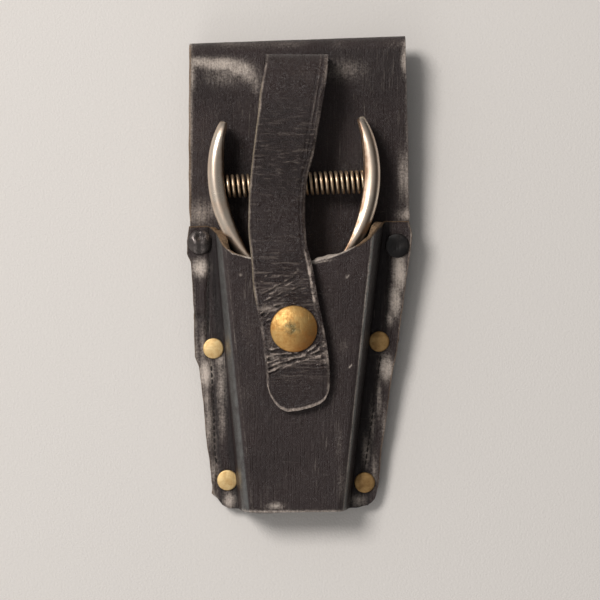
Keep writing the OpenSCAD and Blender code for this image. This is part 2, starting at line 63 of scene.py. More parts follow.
def add_camera():
    bpy.ops.object.camera_add(location=(CAMERA_X * MM, CAMERA_Y * MM, CAMERA_Z * MM), rotation=(0, 0, 0))
    camera = bpy.context.object
    camera.data.lens = LENS
    camera.data.sensor_width = SENSOR
    bpy.context.scene.camera = camera


def add_lamp(name, place, size, power, colour=(1, 1, 1)):
    """Area lamp at place, in metres, that looks at the middle of the holster."""
    aim = Vector((0, 0, 0.01)) - Vector(place)
    bpy.ops.object.light_add(type="AREA", location=place, rotation=aim.to_track_quat("-Z", "Y").to_euler())
    lamp = bpy.context.object
    lamp.name = name
    lamp.data.shape = "DISK"
    lamp.data.size = size
    lamp.data.energy = power
    lamp.data.color = colour


# ---------------------------------------------------------------- small tools

def clip(value):
    return min(1.0, max(0.0, value))


def ease(t):
    t = clip(t)
    return t * t * (3 - 2 * t)


def mix(a, b, t):
    return a + (b - a) * t


def bump(t, middle, width):
    return math.exp(-((t - middle) / width) ** 2)


def ripple(x, y, size, seed=0.0):
    """Smooth noise between -1 and 1 whose lumps are about size across."""
    return noise.noise(Vector((x / size, y / size, seed)))


def along(points, x):
    """Value at x of a line through points sorted by x."""
    if x <= points[0][0]:
        return points[0][1]
    for (x0, y0), (x1, y1) in zip(points, points[1:]):
        if x <= x1:
            return mix(y0, y1, (x - x0) / (x1 - x0))
    return points[-1][1]


def seen(px, py, level=12.0):
    """Place, in mm, of what the picture shows at a pixel, on a level above the floor."""
    scale = (CAMERA_Z - level) * SENSOR / LENS / 600
    return CAMERA_X + (px - 300) * scale, CAMERA_Y - (py - 300) * scale


def seen_lines(lines, level=12.0):
    """Lines of pixels seen on either side, as points (y, x) sorted for along."""
    return {side: sorted(seen(*pixel, level)[::-1] for pixel in pixels) for side, pixels in lines.items()}


def spread(*stretches):
    """Numbers from stretches (start, end, steps) that follow on from each other."""
    values = [stretches[0][0]]
    for start, end, steps in stretches:
        values += [mix(start, end, (i + 1) / steps) for i in range(steps)]
    return values


def segment_distance(x, y, a, b):
    """Distance from a point to a segment, and how far along it the nearest point is."""
    dx, dy = b[0] - a[0], b[1] - a[1]
    t = clip(((x - a[0]) * dx + (y - a[1]) * dy) / (dx * dx + dy * dy))
    return math.hypot(x - a[0] - t * dx, y - a[1] - t * dy), t


def shaped_grid(name, columns, rows, place):
    """Grid primitive; place(column, row) gives each of its points in mm."""
    bpy.ops.mesh.primitive_grid_add(x_subdivisions=columns, y_subdivisions=rows, size=1)
    obj = bpy.context.object
    obj.name = name
    for vertex in obj.data.vertices:
        column = round((vertex.co.x + 0.5) * columns)
        row = round((vertex.co.y + 0.5) * rows)
        vertex.co = Vector(place(column, row)) * MM
    return obj


def only(obj):
    bpy.ops.object.select_all(action="DESELECT")
    bpy.context.view_layer.objects.active = obj
    obj.select_set(True)


def apply_modifier(obj, kind, **settings):
    only(obj)
    modifier = obj.modifiers.new(kind.title(), kind)
    for key, value in settings.items():
        setattr(modifier, key, value)
    bpy.ops.object.modifier_apply(modifier=modifier.name)


def edit(obj, **operators):
    """Runs mesh operators, each given with its settings, on the whole of a piece."""
    only(obj)
    bpy.ops.object.mode_set(mode="EDIT")
    bpy.ops.mesh.select_all(action="SELECT")
    for operator, settings in operators.items():
        getattr(bpy.ops.mesh, operator)(**settings)
    bpy.ops.object.mode_set(mode="OBJECT")


def close_mesh(obj, merge=0.002):
    """Merges doubled points and turns every face outwards."""
    edit(obj, remove_doubles={"threshold": merge * MM}, normals_make_consistent={"inside": False})


def ease_edges(obj, width, angle):
    apply_modifier(obj, "BEVEL", width=width * MM, segments=2, limit_method="ANGLE", angle_limit=math.radians(angle))


def give_thickness(obj, thickness, bevel, angle, even=True, **settings):
    """Makes a leather sheet of a surface: flesh side and cut edge take the next two materials."""
    apply_modifier(obj, "SOLIDIFY", thickness=thickness * MM, offset=-1, use_even_offset=even, use_rim=True,
                   material_offset=1, material_offset_rim=2, **settings)
    ease_edges(obj, bevel, angle)
    smooth(obj, 50)


def smooth(obj, angle):
    only(obj)
    bpy.ops.object.shade_smooth_by_angle(angle=math.radians(angle))


def put(obj, matrix):
    obj.data.transform(matrix)
    obj.data.update()
    return obj


def join(name, parts):
    """One object out of several."""
    bpy.ops.object.select_all(action="DESELECT")
    for part in parts:
        part.select_set(True)
    bpy.context.view_layer.objects.active = parts[0]
    bpy.ops.object.join()
    parts[0].name = name
    return parts[0]


def paint(obj, **masks):
    """Point attributes that a material reads; each mask(x, y, z) takes mm."""
    for name, mask in masks.items():
        layer = obj.data.attributes.new(name, "FLOAT", "POINT")
        for i, vertex in enumerate(obj.data.vertices):
            layer.data[i].value = mask(*(vertex.co / MM))


def finish_piece(obj, body, slot, *materials):
    for material in materials:
        obj.data.materials.append(material)
    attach(obj, body)


def turned(name, outline, place, sides):
    """Turned piece: outline lists (radius, height) in mm from pole to pole, or closed on itself."""
    def point(column, row):
        radius, height = outline[row]
        angle = 2 * math.pi * column / sides
        return radius * math.cos(angle), radius * math.sin(angle), height
    obj = shaped_grid(name, sides, len(outline) - 1, point)
    close_mesh(obj)
    return put(obj, place)


def arc_points(centre, radius, start, end, steps):
    """Points of an arc, angles in degrees."""
    turns = [math.radians(mix(start, end, i / steps)) for i in range(steps + 1)]
    return [(centre[0] + radius * math.cos(t), centre[1] + radius * math.sin(t)) for t in turns]


# ---------------------------------------------------------------- node tools

class Nodes:
    """Short way to add and link nodes in a tree."""

    def __init__(self, tree):
        self.tree = tree

    def add(self, kind, inputs=None, **settings):
        node = self.tree.nodes.new("ShaderNode" + kind)
        for key, value in settings.items():
            setattr(node, key, value)
        for key, value in (inputs or {}).items():
            self.feed(node.inputs[key], value)
        return node

    def feed(self, socket, value):
        if isinstance(value, bpy.types.NodeSocket):
            self.tree.links.new(value, socket)
        else:
            socket.default_value = value

    def math(self, operation, a, b):
        return self.add("Math", {0: a, 1: b}, operation=operation).outputs[0]

    def times(self, a, b):
        return self.math("MULTIPLY", a, b)

    def plus(self, a, b):
        return self.math("ADD", a, b)

    def minus(self, a, b):
        return self.math("SUBTRACT", a, b)

    def larger(self, a, b):
        return self.math("MAXIMUM", a, b)

    def smaller(self, a, b):
        return self.math("MINIMUM", a, b)

    def place(self):
        """Place on the piece, from its own origin."""
        return self.add("TexCoord").outputs["Object"]

    def span(self, value, low, high, to_low=0.0, to_high=1.0):
        """Map Range, clamped."""
        keys = ("Value", "From Min", "From Max", "To Min", "To Max")
        return self.add("MapRange", dict(zip(keys, (value, low, high, to_low, to_high)))).outputs[0]

    def blend(self, factor, a, b):
        return self.add("Mix", {0: factor, 6: a, 7: b}, data_type="RGBA").outputs[2]

    def noise(self, vector, scale, detail=3.0, roughness=0.5, distortion=0.0):
        return self.add("TexNoise", {"Vector": vector, "Scale": scale, "Detail": detail,
                                     "Roughness": roughness, "Distortion": distortion}).outputs[0]

    def stretched(self, vector, scale, rotation=(0, 0, 0)):
        return self.add("Mapping", {"Vector": vector, "Scale": scale, "Rotation": rotation}).outputs[0]


def colour(red, green, blue):
    """Colour from its 0 to 255 screen values."""
    return tuple(((v / 255) / 12.92 if v < 10.3 else ((v / 255 + 0.055) / 1.055) ** 2.4)
                 for v in (red, green, blue)) + (1.0,)


def new_group(name, colours, values):
    """Node group with these inputs, whose outputs are a surface's colour, roughness and height."""
    tree = bpy.data.node_groups.new(name, "ShaderNodeTree")
    for way, kind, labels in (("INPUT", "Color", colours), ("INPUT", "Float", values),
                              ("OUTPUT", "Color", ("Color",)), ("OUTPUT", "Float", ("Roughness", "Height"))):
        for label in labels:
            tree.interface.new_socket(name=label, in_out=way, socket_type="NodeSocket" + kind)
    return tree, Nodes(tree), tree.nodes.new("NodeGroupInput").outputs, tree.nodes.new("NodeGroupOutput").inputs


def leather_group():
    """Grain, mottle, rubbed spots with painted sheen, painted shade with some darker patches, and fine scratches of
    finished leather.
    """
    tree, n, given, out = new_group("Leather grain", ("Base", "Rubbed"),
                                    ("Worn", "Darkening_and_shade", "Scratches", "Cells", "Dullness"))
    place = n.place()
    mottle = n.noise(place, 90, 5, 0.6)
    grain = n.noise(place, 1500, 3, 0.6)
    pores = n.add("TexVoronoi", {"Vector": place, "Scale": given["Cells"], "Randomness": 1.0},
                  feature="DISTANCE_TO_EDGE").outputs["Distance"]
    pores = n.span(pores, 0.0, 0.28)
    threads = n.noise(n.stretched(place, (1.0, 0.03, 1.0)), 2800, 2, 0.5)
    long_scratch = n.span(threads, 0.62, 0.70)
    cross = n.noise(n.stretched(place, (0.08, 1.0, 0.4), (0, 0, 0.5)), 900, 3, 0.6, 0.4)
    cross_scratch = n.span(cross, 0.66, 0.74)
    patches = n.span(n.noise(place, 55, 3, 0.6), 0.45, 0.7)
    scratch = n.times(n.larger(n.times(long_scratch, patches), n.times(cross_scratch, 0.3)), given["Scratches"])
    specks = n.span(n.noise(place, 2600, 2, 0.5), 0.55, 0.75)
    speckle = n.plus(n.times(grain, 1.2), n.times(threads, 0.5))
    # Rubbed wear and painted sheen come in through the Worn input and lighten towards the Rubbed colour.
    worn = n.times(n.span(n.plus(given["Worn"], speckle), 0.9, 1.78), n.span(given["Worn"], 0.0, 0.5, 0.0, 0.95))
    worn = n.plus(worn, n.times(given["Worn"], 0.05))
    worn = n.smaller(n.plus(worn, n.times(scratch, 0.24)), 1.0)
    shade = n.blend(n.span(mottle, 0.3, 0.75, 0.0, 0.55), given["Base"], (0.038, 0.023, 0.0215, 1.0))
    shade = n.blend(n.times(specks, 0.05), shade, given["Rubbed"])
    # Painted shade in creases and shaded places, with some darker patches, darkens the colour here.
    shade = n.blend(n.times(given["Darkening_and_shade"], 0.75), shade, (0.006, 0.005, 0.005, 1.0))
    n.feed(out["Color"], n.blend(worn, shade, given["Rubbed"]))
    rough = n.plus(n.span(n.noise(place, 260, 4, 0.6), 0.3, 0.75, -0.08, 0.12), given["Dullness"])
    rough = n.minus(rough, n.times(worn, 0.12))
    n.feed(out["Roughness"], n.plus(rough, n.times(given["Darkening_and_shade"], 0.2)))
    height = n.plus(n.times(pores, 0.25), n.times(grain, 0.6))
    height = n.plus(height, n.times(threads, given["Scratches"]))
    height = n.plus(height, n.times(n.noise(place, 330, 3, 0.6), 1.3))
    n.feed(out["Height"], n.minus(height, n.times(scratch, 0.5)))
    return tree


def metal_group():
    """Tarnish, dull spots and fine scratches of handled metal."""
    tree, n, given, out = new_group("Handled metal", ("Clean", "Tarnish"), ("Tarnished", "Gloss", "Grain"))
    place = n.place()
    clouds = n.noise(place, given["Grain"], 5, 0.65, 0.3)
    dots = n.span(n.noise(place, 1900, 2, 0.6), 0.56, 0.72)
    lines = n.span(n.noise(n.stretched(place, (1.0, 0.06, 1.0), (0, 0, 0.9)), 1700, 2, 0.5), 0.58, 0.72)
    cross_lines = n.span(n.noise(n.stretched(place, (0.07, 1.0, 1.0), (0, 0, 0.35)), 1500, 2, 0.5), 0.6, 0.74)
    amount = n.times(n.span(clouds, 0.38, 0.72), given["Tarnished"])
    amount = n.smaller(n.plus(amount, n.times(dots, 0.12)), 1.0)
    n.feed(out["Color"], n.blend(amount, given["Clean"], given["Tarnish"]))
    scratch = n.larger(lines, cross_lines)
    rough = n.plus(given["Gloss"], n.times(amount, 0.22))
    n.feed(out["Roughness"], n.plus(rough, n.times(scratch, 0.08)))
    height = n.minus(n.times(clouds, 0.4), n.times(scratch, 0.18))
    n.feed(out["Height"], n.minus(height, n.times(dots, 0.1)))
    return tree


LEATHER_GROUP = leather_group()
METAL_GROUP = metal_group()


def new_material(name):
    material = bpy.data.materials.new(name)
    material.use_nodes = True
    return material, Nodes(material.node_tree), material.node_tree.nodes["Principled BSDF"]


def dress(n, shader, shade, rough, height, distance, strength=1.0):
    """Feeds colour, roughness and bump of a shader."""
    n.feed(shader.inputs["Base Color"], shade)
    n.feed(shader.inputs["Roughness"], rough)
    relief = n.add("Bump", {"Strength": strength, "Distance": distance, "Height": height})
    n.feed(shader.inputs["Normal"], relief.outputs[0])


def attribute(n, name):
    return n.add("Attribute", attribute_name=name).outputs["Fac"]


def leather_material(name, base, rubbed, cut_dark, cut_light, scratches=0.9, cells=2300, depth=0.00034,
                     dullness=0.40):
    material, n, shader = new_material(name)
    worn, crease, faded, raw, wrinkled = (attribute(n, key) for key in ("worn", "crease", "faded", "raw", "wrinkled"))
    group = n.add("Group", {"Base": base, "Rubbed": rubbed, "Worn": worn, "Darkening_and_shade": crease, "Scratches": scratches,
                            "Cells": cells, "Dullness": dullness}, node_tree=LEATHER_GROUP)
    place = n.place()
    fibres = n.noise(n.stretched(place, (1, 1, 0.3)), 1500, 4, 0.7)
    cut = n.blend(n.span(fibres, 0.3, 0.7), cut_dark, cut_light)
    # Painted light: the grey of the lit left wall and the highlight along the right ridge, broken up by noise.
    faded = n.times(faded, n.span(n.noise(place, 420, 5, 0.75), 0.35, 0.62, 0.35, 1.0))
    shade = n.blend(faded, group.outputs["Color"], colour(108, 110, 108))
    # fine wrinkles across the strap, with painted highlight on their crests and painted shade in their grooves
    folds = n.noise(n.stretched(place, (0.10, 1, 1), (0, 0, -0.08)), 1400, 4, 0.6, 0.5)
    shade = n.blend(n.times(wrinkled, n.span(folds, 0.54, 0.68, 0.0, 0.32)), shade, rubbed)
    shade = n.blend(n.times(wrinkled, n.span(folds, 0.46, 0.36, 0.0, 0.6)), shade, (0.004, 0.003, 0.003, 1.0))
    shade = n.blend(raw, shade, cut)
    rough = n.plus(group.outputs["Roughness"], n.times(raw, 0.35))
    shader.inputs["Specular IOR Level"].default_value = 0.36
    height = n.plus(group.outputs["Height"], n.times(fibres, n.times(raw, 1.5)))
    dress(n, shader, shade, rough, n.plus(height, n.times(folds, n.times(wrinkled, 3.0))), depth)
    return material


def cut_edge_material():
    """Cut edge of the leather: brown fibres, darkened where hands have rubbed it."""
    material, n, shader = new_material("Cut leather edge")
    place = n.place()
    fibres = n.noise(place, 1300, 5, 0.7, 0.4)
    stain = n.span(n.noise(place, 110, 4, 0.6), 0.35, 0.7)
    fresh = n.blend(n.span(fibres, 0.3, 0.72), colour(92, 70, 50), colour(160, 130, 96))
    aged = n.blend(n.span(fibres, 0.3, 0.72), colour(40, 33, 29), colour(92, 78, 62))
    shade = n.blend(n.larger(stain, n.minus(1.0, attribute(n, "bare"))), fresh, aged)
    dress(n, shader, shade, n.span(fibres, 0.3, 0.7, 0.62, 0.85), fibres, 0.0006)
    return material


def flesh_material():
    """Suede side of the leather."""
    material, n, shader = new_material("Flesh side")
    place = n.place()
    nap = n.noise(place, 1400, 4, 0.75)
    patches = n.noise(place, 140, 4, 0.6)
    dark = n.blend(n.span(patches, 0.35, 0.7), colour(44, 36, 31), colour(70, 57, 47))
    shade = n.blend(n.times(n.span(nap, 0.5, 0.75), 0.6), dark, colour(102, 86, 70))
    dress(n, shader, shade, n.span(nap, 0.3, 0.7, 0.82, 0.97), nap, 0.0005)
    return material


def thread_material():
    material, n, shader = new_material("Waxed thread")
    place = n.place()
    twist = n.add("TexWave", {"Vector": n.stretched(place, (1, 1, 1), (0, 0, 0.6)), "Scale": 900.0,
                              "Distortion": 0.6}).outputs[1]
    lint = n.noise(place, 1200, 3, 0.6)
    shade = n.blend(n.times(twist, lint), colour(20, 17, 16), colour(78, 68, 60))
    dress(n, shader, shade, n.span(lint, 0.3, 0.7, 0.5, 0.75), twist, 0.00015)
    return material


def metal_material(name, clean, tarnish, tarnished, gloss, grain=260, depth=0.00006, metallic=1.0, marks=None):
    """marks(n, colour, roughness, height) may change these sockets for one kind of piece."""
    material, n, shader = new_material(name)
    group = n.add("Group", {"Clean": clean, "Tarnish": tarnish, "Tarnished": tarnished, "Gloss": gloss,
                            "Grain": grain}, node_tree=METAL_GROUP)
    shade, rough, height = (group.outputs[key] for key in ("Color", "Roughness", "Height"))
    if marks:
        shade, rough, height = marks(n, shade, rough, height)
    shader.inputs["Metallic"].default_value = metallic
    dress(n, shader, shade, rough, height, depth)
    return material


def cap_marks(n, shade, rough, height):
    """Worn greenish middle of the snap cap, with fine bare scuffs; painted shade, oranger and darker, towards the
    lower right.
    """
    place = n.place()
    worn = attribute(n, "worn")
    scuff = n.noise(n.stretched(place, (1.0, 0.6, 1.0), (0, 0, 0.7)), 2300, 5, 0.8, 0.2)
    green = n.times(worn, n.span(scuff, 0.36, 0.56, 0.3, 0.95))
    bare = n.times(worn, n.span(scuff, 0.55, 0.62, 0.0, 0.8))
    shade = n.blend(n.times(attribute(n, "faded"), 0.7), shade, colour(176, 116, 62))
    shade = n.blend(green, shade, colour(84, 82, 58))
    shade = n.blend(bare, shade, colour(214, 196, 150))
    rough = n.plus(rough, n.times(green, 0.12))
    return shade, rough, n.minus(height, n.times(scuff, worn))


def handle_painted_reflection(n, shade, rough, height):
    """Painted reflection of the brown leather on the handles: along their inner edges and in a band along them."""
    low = attribute(n, "low")
    painted_reflection = n.times(low, n.span(n.noise(n.place(), 300, 3, 0.6), 0.3, 0.6, 0.6, 1.0))
    return n.blend(painted_reflection, shade, colour(112, 82, 58)), n.plus(rough, n.times(painted_reflection, 0.12)), height


def wire_painted_shade(n, shade, rough, height):
    """Painted shade in the lower half of the spring's coils."""
    low = attribute(n, "low")
    return n.blend(low, shade, colour(34, 27, 22)), n.plus(rough, n.times(low, 0.3)), height


def cloth_material():
    """Plain pale cloth of the floor."""
    material, n, shader = new_material("Pale cloth")
    place = n.place()
    rough = n.span(n.noise(place, 40, 3, 0.5), 0.3, 0.7, 0.85, 0.95)
    dress(n, shader, colour(220, 215, 210), rough, n.noise(place, 1500, 2, 0.5), 0.0003, 0.4)
    return material


LEATHER = leather_material("Black harness leather", (0.0225, 0.0135, 0.0128, 1), colour(202, 188, 176),
                           colour(84, 64, 46), colour(150, 122, 92))
STRAP_LEATHER = leather_material("Creased strap leather", (0.0165, 0.0084, 0.0076, 1), colour(190, 174, 162),
                                 colour(84, 72, 60), colour(156, 142, 122), 0.3, 2600, 0.00030, 0.30)
CUT_EDGE = cut_edge_material()
FLESH = flesh_material()
THREAD = thread_material()
# The handles' painted reflection of the leather comes in through their marks.
NICKEL = metal_material("Worn nickel", colour(226, 211, 194), colour(186, 154, 128), 0.5, 0.27, 150, 0.00002,
                        marks=handle_painted_reflection)
WIRE = metal_material("Spring wire", colour(232, 208, 178), colour(164, 130, 96), 0.6, 0.36, 500, marks=wire_painted_shade)
STEEL = metal_material("Ground steel", colour(196, 196, 194), colour(118, 108, 98), 0.5, 0.28, 240)
BRASS_CAP = metal_material("Orange brass cap", colour(208, 170, 108), colour(172, 120, 62), 0.8, 0.47, 420, 0.00016,
                           marks=cap_marks)
BRASS = metal_material("Yellow brass", colour(232, 204, 150), colour(186, 146, 92), 0.7, 0.5, 420, 0.00010)
DULL_BRASS = metal_material("Dull brass", colour(178, 144, 96), colour(118, 86, 52), 0.8, 0.48, 420, 0.00010)
BLACK_GLOSS = metal_material("Glossy black enamel", colour(70, 64, 62), colour(120, 112, 108), 0.6, 0.24, 300, 0.0002,
                             0.8)
BLACK_MATTE = metal_material("Rubbed black enamel", colour(17, 14, 14), colour(44, 36, 32), 0.6, 0.3, 300, 0.0002,
                             0.3)

# ---------------------------------------------------------------- holster: shared lines (mm)

LEATHER_BACK, LEATHER_FRONT, LEATHER_STRAP, LEATHER_TAB = 2.4, 2.2, 2.2, 1.4
PLY_GAP = 0.1
PANEL_FACE, PANEL_REAR = 11.3, 8.9
FLANGE_FACE = PANEL_FACE + LEATHER_FRONT
FOLD_R, FOLD_C, FOLD_TURN = 5.65, 71.65, math.radians(2)
TAIL_Y = 2.5
EAR_Y, CORNER_Y, PANEL_END = 10, -68.8, -78.5
LEAN = math.radians(1)
TOE = [(-27.4, -68.8), (-26.9, -70.4), (-26.2, -72.6), (-25.2, -74.7), (-23.4, -77.0), (-21.5, -78.1), (-8, -78.1),
       (8, -77.6), (20.5, -77.2), (23.2, -76.5), (25.2, -75.6), (26.5, -74.2), (27.3, -71.6), (27.4, -68.8)]
# Edges of the flanges, hand-cut: pixels seen, top to bottom
FLANGES = {-1: [(189, 227), (187, 241), (187, 254.5), (191, 262.5), (192, 280), (194, 314), (194, 334), (195, 357),
                (199, 367), (201, 383), (204, 409), (206, 438), (210, 464), (212, 486)],
           1: [(409, 221), (412, 235), (410, 254.5), (407, 274), (404, 298), (400, 326), (397, 351), (393, 369),
               (390, 389), (388, 405), (385, 428.5), (381.5, 448), (380, 470), (378.6, 480)]}


BOX_END, FRONT_RISE = -77.8, 0.0297   # the box grows higher towards its mouth


def front_height(y):
    return 25.1 + (y - BOX_END) * FRONT_RISE


def box_half(y):
    """Half the width of the box, without its drafted walls."""
    return 15.7 + (y - BOX_END) * 0.10272


def flange_edge(side, y):
    """Distance of the flange's edge from the middle."""
    return along(FLANGE_LINES[side], y) + 0.1 * ripple(y, side * 9, 3)


def lean(x, y, amount=1.0):
    """The pouch stands a little turned on the back panel."""
    c, s = math.cos(LEAN * amount), math.sin(LEAN * amount)
    return x * c + (y - EAR_Y) * s, (y - EAR_Y) * c - x * s + EAR_Y


def unlean(x, y):
    return lean(x, y, -1)


FLANGE_LINES = {side: sorted((y, abs(x)) for x, y in (unlean(*seen(*pixel, 13.5)) for pixel in FLANGES[side]))
                for side in (-1, 1)}


def at_toe(x, y, floor_y=-58):
    """Squeezes the rows under floor_y onto the outline of the toe."""
    if y >= floor_y:
        return y
    end = along(TOE, x)
    return floor_y + (y - floor_y) * (end - floor_y) / (PANEL_END - floor_y)


def tail_height(y):
    return 6.4 * (1 - ease((y - 14) / 8))


# ---------------------------------------------------------------- back panel and belt loop

SLIT_X, SLIT_Y = (-11.15, 9.65), (68.5, 70.9)
SLIT_ROW_LEFT, SLIT_ROW_WIDE = -35.95, 71.3   # the panel's left edge and width at the slit


def loop_side(side, y):
    """Edge of the belt loop, which narrows a little towards its fold."""
    top, foot = ((-36.1, -36.2), (35.3, 36.6))[side > 0]
    return mix(foot, top, (y - 17) / 60) + 0.2 * ripple(y, side * 5, 7)


def panel_side(side, y, rear):
    """Edge of the panel, a little inside the flanges, and of the rear ply behind them."""
    x = loop_side(side, y)
    if y >= 20:
        return x
    if rear:
        return mix(x, side * (lean(flange_edge(side, y), y)[0] - 0.8), ease((20 - y) / 4))
    return mix(x, side * (flange_edge(side, max(y, CORNER_Y)) - 0.25), ease((19 - y) / 3))


def make_back_panel():
    left, right = ((x - SLIT_ROW_LEFT) / SLIT_ROW_WIDE for x in SLIT_X)
    across = spread((0, 0.012, 3), (0.012, 0.11, 12), (0.11, left, 12), (left, right, 18), (right, 0.89, 13),
                    (0.89, 0.988, 12), (0.988, 1, 3))
    front = spread((PANEL_END, -58, 16), (-58, 14, 48), (14, 19, 6), (19, SLIT_Y[0], 40), (SLIT_Y[0], SLIT_Y[1], 2))
    profile = [(y, PANEL_FACE) for y in front]
    profile += arc_points((FOLD_C, FOLD_R), FOLD_R, 90, -90, 24)
    profile += [(y, tail_height(y)) for y in spread((FOLD_C - 1.5, 24, 34), (24, 12, 16), (12, TAIL_Y, 8))]
    folded = len(front)

    def place(column, row):
        u = across[column]
        y, z = profile[row]
        if row < folded:
            z += bump(y, 61.5, 6.0) * (1 - 0.6 * u)
        rear = row > folded + 12
        x = mix(panel_side(-1, y, rear), panel_side(1, y, rear), u)
        if not rear:
            y = at_toe(x * 1.01, y) + 0.25 * ease((-60 - y) / 10)
        lean_here = 0 if rear else ease((22 - y) / 5)
        x, y = lean(x, y, lean_here)
        shear = 1.0 if row >= folded else ease((y - 30) / 40)
        y += math.sin(FOLD_TURN) * x * shear
        wave = 0.28 * ripple(x, y, 24, 3.0 if rear else 1.0)
        edge = abs(u - 0.5) * 2
        if row < folded:
            curl = 0.5 * ease((edge - 0.8) / 0.2) * ripple(y, u, 14, 5) * ease((y - 20) / 12)
            z += wave * ease((y - 18) / 12) + curl
        elif rear:
            z += max(0, wave) * ease((profile[row][0] - 26) / 12)
        else:
            bulge = 1 + 0.02 * ripple(x, 0, 16, 2.0)
            y = FOLD_C + math.sin(FOLD_TURN) * x + (y - FOLD_C - math.sin(FOLD_TURN) * x) * bulge
        return x, y, z

    obj = shaped_grid("holster_back", len(across) - 1, len(profile) - 1, place)
    open_slit(obj)
    give_thickness(obj, LEATHER_BACK, 0.35, 55)

    def worn(x, y, z):
        # Painted highlight along the fold's upper left, and rubbed places, from the spots.
        value = 0.95 * spots(x, y, BACK_SPOTS) if z > 9 else 0.0
        value += 0.5 * ease((abs(x) - 34.6) / 1.4) * (0.6 + 0.6 * ripple(x, y, 9, 1)) if y > 17 else 0
        value += 0.35 * bump(y, 75.5, 1.6) * max(0, 0.4 + ripple(x, y, 8, 4))
        return clip(value)

    def raw(x, y, z):
        """Cut leather showing in a line along the left edge."""
        inset = loop_side(-1, y) - x + 0.75
        return 0.9 * ease(inset / 0.3) * (y > 16) * (z > 9) * (0.75 + 0.4 * ripple(x, y, 12, 2))

    paint(obj, worn=worn, crease=lambda x, y, z: 0.5 * ease((z - 11) / 0.3) * max(0, 0.3 + ripple(x, y, 20, 8)),
          faded=lambda x, y, z: 0.0, raw=raw, bare=lambda x, y, z: 0.6)
    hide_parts("back_panel")
    finish_piece(obj, "holster", "leather", LEATHER, FLESH, CUT_EDGE)


def open_slit(obj):
    """Cuts the strap's slit: the faces between its four lines go."""
    only(obj)
    bpy.ops.object.mode_set(mode="EDIT")
    bpy.ops.mesh.select_mode(type="FACE")
    bpy.ops.mesh.select_all(action="DESELECT")
    bpy.ops.object.mode_set(mode="OBJECT")
    middle_x, middle_y = sum(SLIT_X) / 2, sum(SLIT_Y) / 2
    for polygon in obj.data.polygons:
        x, y, z = polygon.center / MM
        polygon.select = (abs(x - middle_x) < (SLIT_X[1] - SLIT_X[0]) / 2 and abs(y - middle_y) < 1.25 and z > 10)
    bpy.ops.object.mode_set(mode="EDIT")
    bpy.ops.mesh.delete(type="FACE")
    bpy.ops.mesh.select_mode(type="VERT")
    bpy.ops.object.mode_set(mode="OBJECT")


# Rubbed places and painted highlights, the fold's highlight first: pixel seen, half width and half height in mm,
# strength
BACK_SPOTS = [
    (200, 62, 7, 1.8, 0.78), (222, 64, 8, 2.2, 0.9), (240, 69, 5, 2.6, 0.8), (249, 75, 3.2, 3.2, 0.6),
    (256, 84, 1.8, 4, 0.45), (192, 75, 1.4, 7, 0.5), (225, 77, 8, 3.4, 0.35), (345, 70, 8, 4, 0.35),
    (215, 210, 6, 3, 0.4), (200, 214, 4, 5, 0.45), (404, 60, 1.2, 5, 0.6), (402, 175, 1.6, 9, 0.5),
    (404, 215, 3, 2, 0.5), (190, 100, 1.2, 20, 0.4), (352, 170, 8, 8, 0.12)]


def spots(x, y, places, level=12.0):
    value = 0.0
    for px, py, wide, high, strength in places:
        cx, cy = seen(px, py, level)
        fall = ((x - cx) / wide) ** 2 + ((y - cy) / high) ** 2
        if fall < 6:
            value = max(value, strength * math.exp(-fall))
    return value


# ---------------------------------------------------------------- moulded front

FOOT_R, RIDGE_R, DRAFT = 1.3, 3.0, 2.6
FLANGE_STEPS, FOOT_STEPS, WALL_STEPS, RIDGE_STEPS, TOP_STEPS = 22, 5, 9, 18, 30
SIDE_STEPS = FLANGE_STEPS + FOOT_STEPS + WALL_STEPS + RIDGE_STEPS
FRONT_COLUMNS = 2 * (SIDE_STEPS + TOP_STEPS)
FRONT_ROWS = 130
TOP_LOW, RIDGE_LOW = 20, 22   # the box's top lies over the first level, its rubbed ridges over the second
NICK = ((-35.0, -14.0), (-30.2, -15.2))
# Edge of the mouth against the distance from the middle, each side
MOUTH = {-1: [(0, 3.0), (5, 3.0), (10, 3.5), (15.8, 4.2), (21.0, 5.5), (23, 6.9), (24.2, 8.2), (25.6, 10.6),
              (27, 12.9), (28.4, 14.2), (30, 14.6), (36, 14.3)],
         1: [(0, 3.0), (4.8, 3.4), (11, 5.0), (15.7, 7.0), (19.5, 9.2), (21.4, 10.9), (23.4, 12.9), (25.2, 15.0),
             (26.4, 16.4), (28.0, 17.2), (36, 17.3)]}
# Lines of stitching: pixels seen, top to bottom
STITCH_LINES = seen_lines({
    -1: [(210, 262), (208.5, 300), (209, 338), (213.5, 366), (216.5, 410), (218.5, 455), (222, 470)],
    1: [(389, 262), (388, 300), (385, 335), (380, 372), (374.5, 420), (369.5, 460), (367.5, 472)]})


def stitch_x(side, y):
    """Sideways place of the stitching at a height."""
    return along(STITCH_LINES[side], y)


